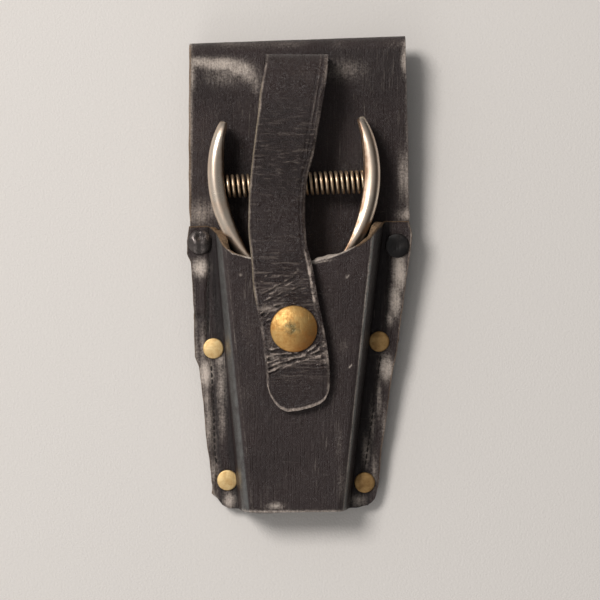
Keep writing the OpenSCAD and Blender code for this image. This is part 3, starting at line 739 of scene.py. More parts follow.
def front_section(column, y):
    """Distance from the middle and height of the front's outer face, and its side."""
    side = -1 if column < FRONT_COLUMNS / 2 else 1
    k = column if side < 0 else FRONT_COLUMNS - column
    top_z, ridge_x = front_height(y), box_half(y)
    foot_x = ridge_x + DRAFT
    slope = math.atan2(top_z - FLANGE_FACE, DRAFT)
    foot_run, ridge_run = FOOT_R * math.tan(slope / 2), RIDGE_R * math.tan(slope / 2)

    def foot(a):
        return foot_x + foot_run - FOOT_R * math.sin(a), FLANGE_FACE + FOOT_R * (1 - math.cos(a))

    def ridge(a):
        return ridge_x - ridge_run + RIDGE_R * math.sin(a), top_z - RIDGE_R + RIDGE_R * math.cos(a)

    if k <= FLANGE_STEPS:
        return side, mix(flange_edge(side, max(y, CORNER_Y)), foot_x + foot_run, k / FLANGE_STEPS), FLANGE_FACE
    k -= FLANGE_STEPS
    if k <= FOOT_STEPS:
        return side, *foot(slope * k / FOOT_STEPS)
    k -= FOOT_STEPS
    if k <= WALL_STEPS:
        (x0, z0), (x1, z1) = foot(slope), ridge(slope)
        return side, mix(x0, x1, k / WALL_STEPS), mix(z0, z1, k / WALL_STEPS)
    k -= WALL_STEPS
    if k <= RIDGE_STEPS:
        return side, *ridge(slope * (1 - k / RIDGE_STEPS))
    return side, ridge(0)[0] * (1 - (k - RIDGE_STEPS) / TOP_STEPS), top_z


def make_front_panel():
    downs = spread((0, 0.06, 14), (0.06, 0.88, 88), (0.88, 1.0, 28))

    def place(column, row):
        w = downs[FRONT_ROWS - row]
        side, x, z = front_section(column, 10)
        top = along(MOUTH[side], x)
        top += 0.16 * ripple(x * side, 0, 2.5, 6) + 0.12 * ripple(x * side, 1, 0.9, 6)
        y = mix(top, PANEL_END, w)
        side, x, z = front_section(column, y)
        x *= side
        y = at_toe(x, y, -62)
        side, x, z = front_section(column, max(y, PANEL_END))
        x *= side
        on_top = ease((z - 20) / 4)
        z += 0.22 * ripple(x, y, 22, 11) * on_top - 0.25 * on_top * bump(x, 0, 9) * bump(y, -60, 18)
        z -= 0.22 * on_top * bump(segment_distance(x, y, (-1, 2.2), (17.5, 5.6))[0], 0, 0.45) * (y < 8)
        z -= 0.3 * on_top * bump(y, -77.6, 0.8)
        if z < FLANGE_FACE + 0.3:
            groove = abs(x - stitch_x(side, y))
            z -= 0.45 * bump(groove, 0, 0.55)
            z += 0.12 * ripple(x, y, 3.4, 2) + 0.22 * bump(groove, 1.5, 0.8)
            z -= 0.7 * bump(segment_distance(x, y, *NICK)[0], 0, 0.55)
            z -= 0.35 * bump(segment_distance(x, y, (31.2, -20.0), (34.4, -25.6))[0], 0, 0.6)
        x, y = lean(x, y)
        return x, y, z

    obj = shaped_grid("holster_front", FRONT_COLUMNS, FRONT_ROWS, place)
    give_thickness(obj, LEATHER_FRONT, 0.32, 60)

    def wall(x, y, z):
        """How far a point lies on the drafted side walls, 0 to 1."""
        out = abs(x) - box_half(y)
        return ease((out + 0.1) / 0.5) * ease((2.9 - out) / 0.6) * ease((z - 15) / 2)

    def worn(x, y, z):
        side = -1 if x < 0 else 1
        ridge = abs(abs(x) - box_half(y) + 1.0)
        # The right ridge's bright line is painted highlight over rubbing, stronger than the rubbing of the left
        # ridge.
        rubbed = (0.25 if side < 0 else 0.75) * bump(ridge - (side > 0) * 0.2, 0, 0.3)
        own_x, own_y = unlean(x, y)
        lip = own_y - along(MOUTH[side], abs(own_x))
        under_lip = segment_distance(own_x, own_y, (-1, 1.6), (15.0, 4.6))[0]
        rim = flange_edge(side, y) - abs(x)
        # The spots mix rubbed places with painted sheen; the mouth's bright edge is painted highlight over rubbed
        # leather.
        return clip(max(spots(x, y, FRONT_SPOTS), rubbed * (0.75 + 0.5 * ripple(x, y, 6, 3)) * (z > RIDGE_LOW),
                        1.1 * ease((lip + 0.5) / 0.3) * (z > RIDGE_LOW) * (0.8 + 0.4 * ripple(x, y, 3, 1)),
                        0.5 * bump(y, -77.6, 0.7) * (z > TOP_LOW),
                        0.6 * bump(under_lip, 0, 0.3) * ease((14 - x) / 6) * (z > TOP_LOW and 0 < x < 16),
                        0.5 * ease(1.2 - rim) * (0.55 + 0.6 * ripple(x, y, 7, 9)) * (z < 15)))

    def crease(x, y, z):
        # Darker in the stitch grooves and the nick; painted shade at the foot of the walls and over the right wall.
        out = abs(x) - box_half(y)
        if z < 15:
            return max(0.9 * bump(x - stitch_x(-1 if x < 0 else 1, y), 0, 0.5),
                       bump(segment_distance(x, y, *NICK)[0], 0, 0.5), 0.8 * ease((3.6 - abs(out - 3.2)) / 2.4))
        return 0.85 * wall(x, y, z) * ease((out + 0.6) / 0.8) * (x > 0)

    def faded(x, y, z):
        """Painted light: grey on the lit left wall and a painted highlight along the right ridge."""
        ridge = 1.3 * (x > 0) * (z > TOP_LOW) * bump(abs(x) - box_half(y) + 0.8, 0, 0.34)
        return 0.62 * wall(x, y, z) * (x < 0) + ridge

    def raw(x, y, z):
        """Cut leather showing along the mouth, widest at the right ear, and in a line round the flanges."""
        side = -1 if x < 0 else 1
        x, y = unlean(x, y)
        lip = along(MOUTH[side], abs(x)) - y
        wide = (0.05 + 1.65 * ease((x - 16) / 8) - 1.3 * ease((x - 27) / 1.5) if x > 0
                else 0.25 + 0.7 * ease((-x - 22) / 4) - 0.5 * ease((-x - 28) / 1.5))
        value = ease((wide - lip) / 0.3) * ease((abs(x) - 15) / 3)
        if z < FLANGE_FACE + 0.2:
            value = max(value, ease((0.4 - flange_edge(side, y) + abs(x)) / 0.3) * (0.5 + 0.5 * ripple(x, y, 9, 4)))
        return min(1.0, value)

    paint(obj, worn=worn, crease=crease, faded=faded, raw=raw,
          bare=lambda x, y, z: ease((y - 2) / 2) if z > 13.8 else 0.25 + 0.75 * ease((y - 13) / 2))
    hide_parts("front_panel")
    finish_piece(obj, "holster", "leather", LEATHER, FLESH, CUT_EDGE)


# Rubbed places and painted sheen, as above
FRONT_SPOTS = [
    (200, 268, 2.6, 3.0, 0.95), (206, 374, 2.6, 4.6, 1.0), (207, 400, 1.6, 6.0, 0.45), (220, 360, 1.5, 3, 0.6),
    (221, 385, 1.8, 10, 0.5), (222, 420, 1.4, 8, 0.45), (229, 500, 2.2, 3.0, 0.7), (212, 440, 2, 6, 0.35),
    (399, 272, 2.2, 6.5, 1.0), (395, 300, 2.0, 6.0, 0.85), (390, 318, 1.4, 3, 0.5), (386, 368, 2.4, 4.5, 0.85),
    (379, 398, 1.0, 8, 0.5), (372, 420, 1.2, 8, 0.35), (366, 452, 1.4, 6, 0.5), (358, 500, 3, 2.2, 0.5),
    (276, 502, 3.0, 1.4, 0.6), (346, 277, 0.5, 0.5, 1.0), (242, 275, 0.5, 0.4, 0.9), (349, 365, 0.5, 0.4, 0.9),
    (338, 440, 1.2, 8, 0.2), (342, 480, 2, 6, 0.24), (343, 345, 2, 3, 0.2), (250, 330, 4, 8, 0.13),
    (332, 350, 4, 20, 0.1), (245, 390, 3, 4, 0.14), (203, 345, 1.5, 9, 0.42), (209, 425, 2.2, 11, 0.46),
    (214, 470, 1.8, 7, 0.45), (384, 425, 1.2, 9, 0.36), (374, 470, 1.4, 7, 0.36)]


# ---------------------------------------------------------------- closing strap

STRAP_HALF = 10.3
ROOT_X, ROOT_Y = -0.75, 69.7
STRAP_END = -46.2
STRAP_LOW = 19                              # tab and root lie under this level
TAB_ROW, ROOT_ROW, FLAP_ROW = 37, 57, 85    # rows of the strap's line: tab's end, slit's end, free from here
# Edges of the strap: pixels seen, top to bottom
STRAP_LINES = seen_lines({
    -1: [(266, 54), (262, 78), (259, 94), (258, 110), (253, 150), (251, 169), (249, 189), (248, 229), (250, 250),
         (251.5, 260), (253, 288), (258, 314), (260.6, 327), (263, 346), (266, 373)],
    1: [(329, 56), (327, 78), (324, 94), (318.5, 126), (314, 154), (307.5, 175), (305, 199), (305, 221), (307, 247),
        (312, 263), (315, 281), (319, 305), (323.5, 324.5), (327, 345), (330, 369)]}, 30)
# Tip of the strap: place across from -1 to 1, and how far down it reaches
STRAP_TIP = [
    (-1.0, -33.3), (-0.97, -36.5), (-0.86, -40.1), (-0.72, -42.4), (-0.56, -44.1), (-0.33, -45.1), (0.04, -44.7),
    (0.45, -43.6), (0.68, -42.6), (0.84, -41.3), (0.96, -38.8), (1.0, -35.9)]


def strap_edge(side, y):
    """Sideways place of an edge of the strap, with the corners of its measured line eased."""
    return sum(along(STRAP_LINES[side], y + step) for step in (-2.4, -1.2, 0, 1.2, 2.4)) / 5


def strap_middle(y):
    return (strap_edge(-1, y) + strap_edge(1, y)) / 2


def strap_half(y):
    return (strap_edge(1, y) - strap_edge(-1, y)) / 2


def strap_roll(y):
    """How far the free middle of the strap turns its left edge up."""
    return 1.7 * ease((60 - y) / 24) * ease((y - 7) / 14)


def strap_under(y):
    over = 19.9 + 4.2 * ease((69.7 - y) / 8) + 1.2 * ease((60 - y) / 28) + 3.2 * ease((34 - y) / 30)
    down = front_height(y) + 2.4 - 1.9 * ease((-27.3 - y) / 17)
    return mix(over, down, ease((8 - y) / 18))


def strap_line():
    """Middle of the strap from its sewn tab to its tip, on height Y and level Z, evenly stepped."""
    rough = [(y, 8.2) for y in spread((58.7, 68.2, 12))]
    rough += arc_points((68.2, 9.7), 1.5, -90, 0, 6)[1:]
    rough += [(ROOT_Y, z) for z in spread((10.4, 18.6, 10))]
    start, pull, end = Vector((ROOT_Y, 18.6)), Vector((ROOT_Y + 0.4, 22.0)), Vector((64.6, strap_under(64.6) + 1.1))
    for i in range(1, 13):
        t = i / 12
        rough.append(tuple(start * (1 - t) ** 2 + pull * 2 * t * (1 - t) + end * t * t))
    rough += [(y, strap_under(y) + 1.1) for y in spread((64.4, STRAP_END, 200))[1:]]
    lengths = [0.0]
    for (y0, z0), (y1, z1) in zip(rough, rough[1:]):
        lengths.append(lengths[-1] + math.hypot(y1 - y0, z1 - z0))
    steps = 470
    ys, zs = ([(length, point[k]) for length, point in zip(lengths, rough)] for k in (0, 1))
    even = [lengths[-1] * i / steps for i in range(steps + 1)]
    return [(along(ys, length), along(zs, length)) for length in even]


# Creases of the strap: pixels seen from and to, width and depth in mm
STRAP_CREASES = [
    (262, 280, 275, 273, 0.7, 0.28), (275, 273, 283, 270, 0.6, 0.2), (263, 296, 280, 286, 0.7, 0.42),
    (280, 286, 297, 277, 0.7, 0.42), (264, 303, 286, 293, 0.7, 0.45), (286, 293, 306, 286, 0.6, 0.35),
    (258, 318, 268, 311, 0.8, 0.5), (268, 311, 281, 305, 0.7, 0.5), (262, 326, 272, 320, 0.7, 0.45),
    (262, 345, 270, 346, 0.7, 0.4), (264, 352, 282, 350, 0.8, 0.5), (265, 361, 275, 357, 0.8, 0.6),
    (275, 357, 300, 354.5, 0.8, 0.5), (266, 371, 277, 366, 0.8, 0.65), (277, 366, 295, 360, 0.8, 0.6),
    (295, 360, 313, 355, 0.8, 0.6), (313, 355, 326, 351, 0.8, 0.6), (267, 374, 275, 372, 0.6, 0.4),
    (275, 372, 286, 364, 0.6, 0.35), (307, 355, 318, 346, 0.7, 0.5), (318, 346, 325, 343, 0.7, 0.5),
    (317, 360, 328, 358, 0.6, 0.4), (317, 366, 328, 365, 0.5, 0.3), (288, 306, 300, 303, 0.5, 0.25),
    (320, 320, 324, 335, 0.6, 0.3), (297, 262, 306, 258, 0.5, 0.22), (296, 268, 308, 265, 0.5, 0.2)]


def strap_relief(across, x, y):
    """Height of the strap's wrinkles and of the pressed lines along its edges."""
    z = 0.0
    for px0, py0, px1, py1, width, depth in STRAP_CREASES:
        a, b = seen(px0, py0, 30), seen(px1, py1, 30)
        wander = 0.35 * ripple(x, y, 2.2, px0)
        distance, t = segment_distance(x, y + wander, a, b)
        if distance < 3 * width:
            depth *= (0.45 + 0.55 * math.sin(math.pi * t)) * (0.8 + 0.6 * ripple(x, y, 1.1, py0))
            valley = math.exp(-(distance / (width * 0.45)) ** 2)
            crest = math.exp(-((distance - 0.95 * width) / (0.45 * width)) ** 2)
            z += -depth * valley + 0.5 * depth * crest
    z += 0.04 * ripple(x, y, 1.4, 5)
    near_snap = ease((6 - y) / 8) * ease((y + 34) / 6)
    z += 0.2 * near_snap * ripple(x * 0.55 + y * 0.35, y * 1.6 - x * 0.5, 1.3, 31)
    # pressed line beside each edge
    inset = STRAP_HALF - abs(across)
    z *= ease((inset - 0.1) / 0.9)
    line = 1.5 if across < 0 else 1.9
    z -= 0.16 * bump(inset, line, 0.32)
    if y > 36 and across > 0:
        z -= 0.18 * bump(inset, 3.3, 0.35)
    return z


def make_strap():
    line = strap_line()
    inner = [mix(-0.9, 0.9, i / 70) for i in range(71)]
    across = [-1.0, -0.985, -0.965, -0.94] + inner + [0.94, 0.965, 0.985, 1.0]

    def place(column, row):
        u = across[column]
        row = len(line) - 1 - row
        y, z = line[row]
        if y < -28:
            y = mix(-28, along(STRAP_TIP, u), (-28 - y) / (-28 - STRAP_END))
            z = strap_under(y) + 1.1
        ahead = line[min(row + 1, len(line) - 1)]
        behind = line[max(row - 1, 0)]
        run = Vector((ahead[0] - behind[0], ahead[1] - behind[1])).normalized()
        up = Vector((run.y, -run.x))
        loose = ease((row - ROOT_ROW) / 40)
        x = mix(ROOT_X, strap_middle(y), loose) + u * mix(STRAP_HALF, strap_half(y), loose)
        z -= u * strap_roll(y) * loose
        tab = 1 - ease((row - TAB_ROW) / 11)
        offset = mix(LEATHER_STRAP, LEATHER_TAB, tab) / 2
        flap = ease((68 - y) / 5) * (row > FLAP_ROW)
        if flap:
            offset += strap_relief(u * STRAP_HALF, x, y) * flap
            offset -= 0.45 * ease((abs(u) - 0.86) / 0.14) ** 1.5
            over = ease((50 - y) / 20) * ease((y + 6) / 16)
            offset += -0.5 * over * u * u + 0.35 * over
            if u < -0.94:
                offset -= 0.7 * ease((-u - 0.94) / 0.06) * ease((63 - y) / 8) * ease((y + 14) / 10)
        return x, y + up.x * offset, z + up.y * offset

    obj = shaped_grid("closing_strap", len(across) - 1, len(line) - 1, place)
    skive_tab(obj)
    give_thickness(obj, LEATHER_STRAP, 0.3, 60, even=False, vertex_group="thickness")

    def from_middle(x, y):
        return (x - strap_middle(y)) * STRAP_HALF / strap_half(y)

    def raw(x, y, z):
        if z < STRAP_LOW or y > 66:
            return 0.0
        return 0.9 * ease((-from_middle(x, y) - 9.7) / 0.3) * ease((64 - y) / 6) * ease((y + 13) / 6)

    def worn(x, y, z):
        across_here = from_middle(x, y)
        inset = STRAP_HALF - abs(across_here)
        value = 0.5 * bump(inset, 0.5, 0.5) * max(0, 0.6 + ripple(x, y, 5, 2))
        if z < STRAP_LOW:
            return clip(value)
        patchy = 0.75 + 0.9 * ripple(y, 3, 1.9)
        rim = min(inset, y - along(STRAP_TIP, across_here / STRAP_HALF))
        # Painted highlights on the relief's crests and beside the creases, from the spots, with rubbed edges.
        value = max(value, 0.6 * spots(x, y, STRAP_SPOTS, 30), 0.5 * ease((1.3 - rim) / 0.6) * (y < -36),
                    min(0.6, 3.2 * (strap_relief(across_here, x, y) - 0.035)) * (y < 64))
        # On the right: painted highlights along the edge and its pressed lines, over rubbed leather.
        if across_here > 0:
            value = max(value, 0.95 * bump(inset, 1.35, 0.5) * ease((8 - y) / 3) * ease((y + 13) / 5) * patchy,
                        0.4 * bump(inset, 2.6, 0.25) * (0.7 + ripple(x, y, 9, 7)) * (y > 44),
                        0.3 * bump(inset, 1.2, 0.25) * (y > 44))
        return clip(value)

    def crease(x, y, z):
        # Painted shade: in the creases' valleys, and over the middle of the strap through dark_middle.
        if z < STRAP_LOW or y > 64:
            return 0.0
        depth = -strap_relief(from_middle(x, y), x, y)
        dark_middle = 0.24 * ease((60 - y) / 9) * ease((y - 20) / 10)
        return min(1.0, max(dark_middle, (depth - 0.05) * 2.6))

    def wrinkled(x, y, z):
        places = 0.8 * bump(y, 38, 16) + 0.9 * bump(y, -4, 14) + 0.9 * bump(y, -31, 5)
        return (z > STRAP_LOW) * (1 - ease((-38 - y) / 3)) * places * (0.8 + 0.6 * ripple(x, y, 6, 12))

    paint(obj, worn=worn, crease=crease, faded=lambda x, y, z: 0.0, raw=raw, wrinkled=wrinkled,
          bare=lambda x, y, z: 0.9 if x < strap_middle(y) else 0.2)
    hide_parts("strap_root", "strap_flap")
    for material in (STRAP_LEATHER, FLESH, CUT_EDGE):
        obj.data.materials.append(material)
    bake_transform(obj)


def skive_tab(obj):
    """The sewn tab is skived thin; the rest has the strap's full thickness."""
    group = obj.vertex_groups.new(name="thickness")
    for vertex in obj.data.vertices:
        y, z = vertex.co.y / MM, vertex.co.z / MM
        thin = 1 - ease((z - 8.9) / 3) if y > 50 or z < 12 else 0.0
        group.add([vertex.index], mix(1.0, LEATHER_TAB / LEATHER_STRAP, thin), "REPLACE")


# Rubbed places and painted highlights beside the creases, as above
STRAP_SPOTS = [
    (315, 310, 0.8, 4, 0.4), (268, 309, 3.5, 1.1, 0.9), (280, 304, 2.4, 0.9, 0.6), (283, 289, 5, 1.4, 0.35),
    (272, 357, 3.5, 0.9, 0.7), (282, 365, 4.5, 0.8, 0.7), (305, 356, 6, 0.8, 0.55), (325, 345, 1.4, 1.2, 0.7),
    (326, 353, 1.4, 1.2, 0.8), (325, 361, 1.6, 1.0, 0.8), (270, 340, 1.5, 4, 0.4), (298, 270, 0.6, 0.6, 0.7),
    (297, 382, 4, 1.0, 0.18), (300, 70, 6, 3, 0.12), (262, 330, 0.8, 3, 0.5)]


# ---------------------------------------------------------------- stitching

def make_stitches():
    """Saddle stitches along both flanges, front and back, and across the strap's tab."""
    parts = []
    pitch, length, radius = 2.15, 1.75, 0.3

    def stitch(x0, y0, x1, y1, z, sink):
        def point(column, row):
            t = row / 6
            arch = math.sin(math.pi * t)
            size = radius * (0.35 + 0.65 * math.sqrt(max(0.0, arch)))
            a = 2 * math.pi * column / 6
            nx, ny = -(y1 - y0) / length, (x1 - x0) / length
            lift = (0.32 * arch - 0.2) * sink
            return (mix(x0, x1, t) + nx * size * math.cos(a), mix(y0, y1, t) + ny * size * math.cos(a),
                    z + lift + size * math.sin(a))
        parts.append(shaped_grid("stitch", 6, 6, point))

    for side in (-1, 1):
        y = 3.0
        while y > -63:
            low = y - length
            rivet = SIDE_RIVETS[0 if side < 0 else 1]
            if abs((y + low) / 2 - rivet[1]) > 4.6:
                x0, x1 = stitch_x(side, y), stitch_x(side, low)
                a, b = lean(x0, y), lean(x1, low)
                stitch(*a, *b, FLANGE_FACE - 0.28, 1)
                stitch(*a, *b, PANEL_REAR + 0.05, -1)
            y -= pitch
    for i in range(7):
        x = ROOT_X - 7.5 + pitch * i
        stitch(x, 62.2, x + length, 62.2 - 0.01, PANEL_FACE + 0.02, 1)
        stitch(x, 62.2, x + length, 62.2 - 0.01, 7.5, -1)
    obj = join("flange_stitches", parts)
    close_mesh(obj, 0.001)
    smooth(obj, 60)
    finish_piece(obj, "holster", "leather", THREAD)


# ---------------------------------------------------------------- rivets and snap

def leaned_place(x, y, z, tilt=0.0):
    px, py = lean(x, y)
    return (Matrix.Translation(Vector((px, py, z)) * MM) @ Matrix.Rotation(-LEAN, 4, "Z")
            @ Matrix.Rotation(tilt, 4, "X"))


def rivet_outline(d, dome, rim, depth, dish=0.0):
    """Cap from its crown to its rim, then the shank down to its peened end."""
    r = d / 2
    crown = [(r * i / 8 * 0.86, rim + dome * (1 - (i / 8 * 0.86) ** 2) - dish * bump(i / 8, 0, 0.5))
             for i in range(9)]
    edge = arc_points((r - rim * 0.55, rim * 0.55), rim * 0.55, 65, -80, 7)
    shank = [(1.6, 0.0), (1.5, -0.2), (1.5, -depth + 0.1), (1.75, -depth - 0.05),
             (1.5, -depth - 0.3), (0.8, -depth - 0.42), (0, -depth - 0.45)]
    return crown + edge + shank


def burr_outline(d, thick):
    r = d / 2
    return [(1.6, 0.0), (r - 0.3, 0.0), (r, -0.15), (r, -thick + 0.2), (r - 0.35, -thick), (2.4, -thick + 0.05),
            (1.75, -thick + 0.25), (1.6, -thick + 0.3), (1.6, 0.0)]


LOOP_RIVET_X, LOOP_RIVET_Y = 32.4, 9.2
# Set a little off their marks: upper left and right, lower left and right
SIDE_RIVETS = [(-27.36, -25.6), (27.05, -22.4), (-22.0, -68.8), (23.1, -68.8)]


def set_rivet(name, slot, material, x, y, outline, sides, depth, dent, burr_d):
    """Rivet in the flange, dented by depth and seed, and its burr at depth under the flange's face."""
    place = leaned_place(x, y, FLANGE_FACE)
    rivet = turned(name, outline, place, sides)
    dent_cap(rivet, place, *dent)
    burr = turned(name.replace("rivet", "rivet_burr"), burr_outline(burr_d, 0.6),
                  leaned_place(x, y, FLANGE_FACE - depth), 40)
    smooth(rivet, 35)
    smooth(burr, 35)
    finish_piece(rivet, "holster", slot, material)
    finish_piece(burr, "holster", "brass", DULL_BRASS)
    return rivet, burr


def make_rivets():
    depth = 2 * LEATHER_BACK + PLY_GAP + LEATHER_FRONT
    for side, hand, material, dome, dish, dent in ((-1, "left", BLACK_GLOSS, 1.05, 0.0, 0.8),
                                                   (1, "right", BLACK_MATTE, 0.35, 0.3, 0.08)):
        rivet, burr = set_rivet("loop_rivet_" + hand, "black_metal", material, side * LOOP_RIVET_X, LOOP_RIVET_Y,
                                rivet_outline(8, dome, 0.7, depth + 0.25, dish), 56, depth, (dent, 11 + side), 6.6)
        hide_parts("loop_rivet_burrs")
        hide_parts("loop_rivets")
    depth = LEATHER_BACK + LEATHER_FRONT
    for i, (x, y) in enumerate(SIDE_RIVETS):
        rivet, burr = set_rivet("side_rivet_%d" % (i + 1), "brass", BRASS if x < 0 else DULL_BRASS, x, y,
                                rivet_outline(6.8, 0.3, 0.75, depth + 0.25), 48, depth, (0.06, 3 + i), 5.8)
        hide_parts("side_rivets")
        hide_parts("side_rivet_burrs")


def dent_cap(obj, place, depth, seed):
    """Hammer marks and wear in the top of a cap."""
    back = place.inverted()
    for vertex in obj.data.vertices:
        local = (back @ vertex.co) / MM
        if local.z > 0.3:
            shift = depth * ripple(local.x, local.y, 3.2, seed) * ease((local.z - 0.3) / 0.3)
            vertex.co += (place.to_3x3() @ Vector((0, 0, shift))) * MM
    obj.data.update()


SNAP_X, SNAP_Y, SNAP_TILT = -1, -18.3, math.atan(FRONT_RISE)


def snap_place(lift):
    """On the pouch's front at the snap, lifted off it by some mm."""
    base = leaned_place(SNAP_X, SNAP_Y, front_height(SNAP_Y), SNAP_TILT)
    return base @ Matrix.Translation((0, 0, lift * MM))


def snap_part(name, node, body, material, lift, outline):
    """Turned part of the snap, lifted off the front's face."""
    obj = turned(name, outline, snap_place(lift), 56)
    smooth(obj, 35)
    finish_piece(obj, body, "brass", material)
    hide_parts(node)


def make_snap():
    cap_r, rise = 7.5, 2.1
    ball_r = (cap_r ** 2 + rise ** 2) / (2 * rise)
    radii = [cap_r * 0.965 * i / 16 for i in range(17)]
    dome = [(r, 0.85 + rise - ball_r + math.sqrt(ball_r ** 2 - r ** 2)) for r in radii]
    rim = arc_points((cap_r - 0.45, 0.5), 0.45, 60, -90, 8)
    place = snap_place(2.4 + LEATHER_STRAP)
    cap = turned("snap_cap_dome", dome + rim + [(2.1, 0.05), (2.0, 0.0), (2.0, -2.2), (1.6, -2.35), (0, -2.35)],
                 place, 72)
    dent_cap(cap, place, 0.05, 8)
    smooth(cap, 35)
    middle = snap_place(0).translation / MM

    def scuffed(x, y, z):
        r = math.hypot((x - middle.x + 0.5) / 1.15, y - middle.y - 0.2)
        core = ease((3.4 - r + 1.2 * ripple(x, y, 1.2, 7)) / 3.2)
        return clip(core + 0.25 * max(0, ripple(x, y, 1.6, 4)) * ease((5.5 - r) / 2))

    # The cap's lower right takes painted shade.
    paint(cap, worn=scuffed, faded=lambda x, y, z: ease((x - middle.x - y + middle.y - 1) / 9))
    finish_piece(cap, "strap", "brass", BRASS_CAP)
    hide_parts("snap_cap")
    snap_part("snap_socket_ring", "snap_socket", "strap", BRASS, 0.85,
              [(2.45, 0.1), (3.0, 0.0), (3.5, 0.25), (3.9, 0.25), (4.4, 0.0), (5.1, 0.1), (5.3, 0.45),
               (5.3, 1.2), (5.0, 1.5), (3.2, 1.5), (2.5, 1.5), (2.45, 0.1)])
    snap_part("snap_stud_post", "snap_stud", "holster", BRASS, 0,
              [(0, 2.1), (1.2, 2.08), (1.75, 1.9), (2.05, 1.6), (2.0, 1.2), (1.7, 0.95), (1.7, 0.75),
               (2.1, 0.6), (3.6, 0.5), (4.9, 0.5), (5.25, 0.35), (5.3, 0.05), (5.0, 0.0), (1.9, 0.0),
               (1.85, -2.3), (1.2, -2.45), (0, -2.45)])
    snap_part("snap_eyelet_ring", "snap_eyelet", "holster", DULL_BRASS, -2.3,
              [(2.0, 0.0), (4.6, 0.0), (5.2, -0.12), (5.3, -0.3), (5.0, -0.5), (3.0, -0.5), (2.3, -0.62),
               (2.0, -0.5), (2.0, 0.0)])


# ---------------------------------------------------------------- clipper

CLIPPER = (Matrix.Translation(Vector((1.95, -66, 11.6)) * MM) @ Matrix.Rotation(math.radians(2), 4, "Z"))
BOW_C, BOW_Q, BOW_R = -14.7, 98.0, 42.8
INNER_C, INNER_Q, INNER_R = -34.2, 100.8, 57.5
HANDLE_H, SHOULDER_R, SHEET, INNER_SLOPE = 11.6, 2.6, 1.1, math.radians(15)
TIP_Q = 116.6
SPRING_Q, SPRING_HALF = 94.7, 26.3


def handle_depth(angle):
    """Depth of the handle's flanges on a ray from the middle of its bow."""
    dp, dq = BOW_C - INNER_C, BOW_Q - INNER_Q
    b = dp * math.cos(angle) + dq * math.sin(angle)
    return BOW_R - (-b + math.sqrt(b * b + INNER_R ** 2 - dp * dp - dq * dq))


def channel_half(depth, thick):
    """Upper half of the channel's section, (inwards, up) from its back: round the outside, the lip, the inside."""
    rise = HANDLE_H / 2 - SHOULDER_R
    turn = min(math.pi / 2 + INNER_SLOPE, math.acos(max(-1, 1 - depth / SHOULDER_R)))
    straight = max(0.0, depth - SHOULDER_R * (1 - math.cos(turn))) / math.cos(INNER_SLOPE)

    def layer(radius):
        points = [(SHOULDER_R - radius, rise * i / 4) for i in range(4)]
        turns = [turn * i / 14 for i in range(15)]
        points += [(SHOULDER_R - radius * math.cos(t), rise + radius * math.sin(t)) for t in turns]
        end = points[-1]
        runs = [straight * i / 4 for i in range(1, 5)]
        points += [(end[0] + run * math.cos(INNER_SLOPE), end[1] - run * math.sin(INNER_SLOPE)) for run in runs]
        return points

    outside, inside = layer(SHOULDER_R), layer(SHOULDER_R - thick)
    a, b = outside[-1], inside[-1]
    middle = ((a[0] + b[0]) / 2, (a[1] + b[1]) / 2)
    out = ((a[0] - b[0]) / 2, (a[1] - b[1]) / 2)
    ahead = (out[1], -out[0])
    lip = []
    for i in range(1, 6):
        t = math.pi * i / 6
        lip.append(tuple(m + o * math.cos(t) + a * math.sin(t) for m, o, a in zip(middle, out, ahead)))
    return outside + lip + inside[::-1]


def make_bow(name, side):
    """Pressed channel handle: web outside, flanges domed over their shoulders and sloping in."""
    tip, foot = math.asin((TIP_Q - BOW_Q) / BOW_R), math.radians(-49)
    angles = spread((foot, foot + 0.03, 6), (foot + 0.03, tip - 0.2, 90), (tip - 0.2, tip - 0.02, 20),
                    (tip - 0.02, tip, 6))
    rows = []
    for angle in angles:
        end = min(1.0, (tip - angle) / 0.02, (angle - foot) / 0.03)
        thick = SHEET * max(0.02, math.sqrt(1 - (1 - end) ** 2))
        nose = math.sqrt(1 - (1 - min(1.0, (tip - angle) / 0.34)) ** 2)
        depth = max(handle_depth(angle), 1.6) * mix(0.4, 1, nose)
        upper = channel_half(depth, thick)
        section = upper + [(p, -q) for p, q in upper[::-1]]
        narrow = mix(0.42, 1, nose) * mix(0.6, 1, ease((angle - foot) / 0.12))
        drop = (1 - nose) * 0.9 + (SHEET - thick) / 2
        rows.append([(p + drop, q * narrow) for p, q in section])
    count = len(rows[0])

    def place(column, row):
        inwards, up = rows[row][column % count]
        p, q = BOW_C + (BOW_R - inwards) * math.cos(angles[row]), BOW_Q + (BOW_R - inwards) * math.sin(angles[row])
        return side * p, q, HANDLE_H / 2 + up

    obj = shaped_grid(name, count, len(angles) - 1, place)
    close_mesh(obj, 0.02)
    seat = [(0, 4.6), (1.6, 4.5), (2.1, 4.2), (2.3, 3.6), (2.5, 0.6), (2.7, 0.2), (3.1, 0.0), (3.1, -0.6), (0, -0.6)]
    boss = turned("seat", seat, Matrix.Translation(Vector((side * 26.9, SPRING_Q, HANDLE_H / 2)) * MM)
                  @ Matrix.Rotation(-side * math.pi / 2, 4, "Y"), 36)
    return [obj, boss]


def make_tang(side, low, high):
    """Flat tang between the bow and the head's plate, from level low to high."""
    outline = arc_points((20.0, 76), 0.9, -30, 150, 8) + [(16.6, 71)] + arc_points((14.4, 64), 3.2, 170, 330, 12)
    bpy.ops.mesh.primitive_circle_add(vertices=len(outline), radius=1, fill_type="NGON")
    obj = bpy.context.object
    for vertex, (p, q) in zip(obj.data.vertices, outline):
        vertex.co = Vector((p, q, low)) * MM
    edit(obj, extrude_region_move={"TRANSFORM_OT_translate": {"value": (0, 0, (high - low) * MM)}})
    close_mesh(obj)
    ease_edges(obj, 0.25, 50)
    if side < 0:
        put(obj, Matrix.Scale(-1, 4, (1, 0, 0)))
        edit(obj, flip_normals={})
    return obj


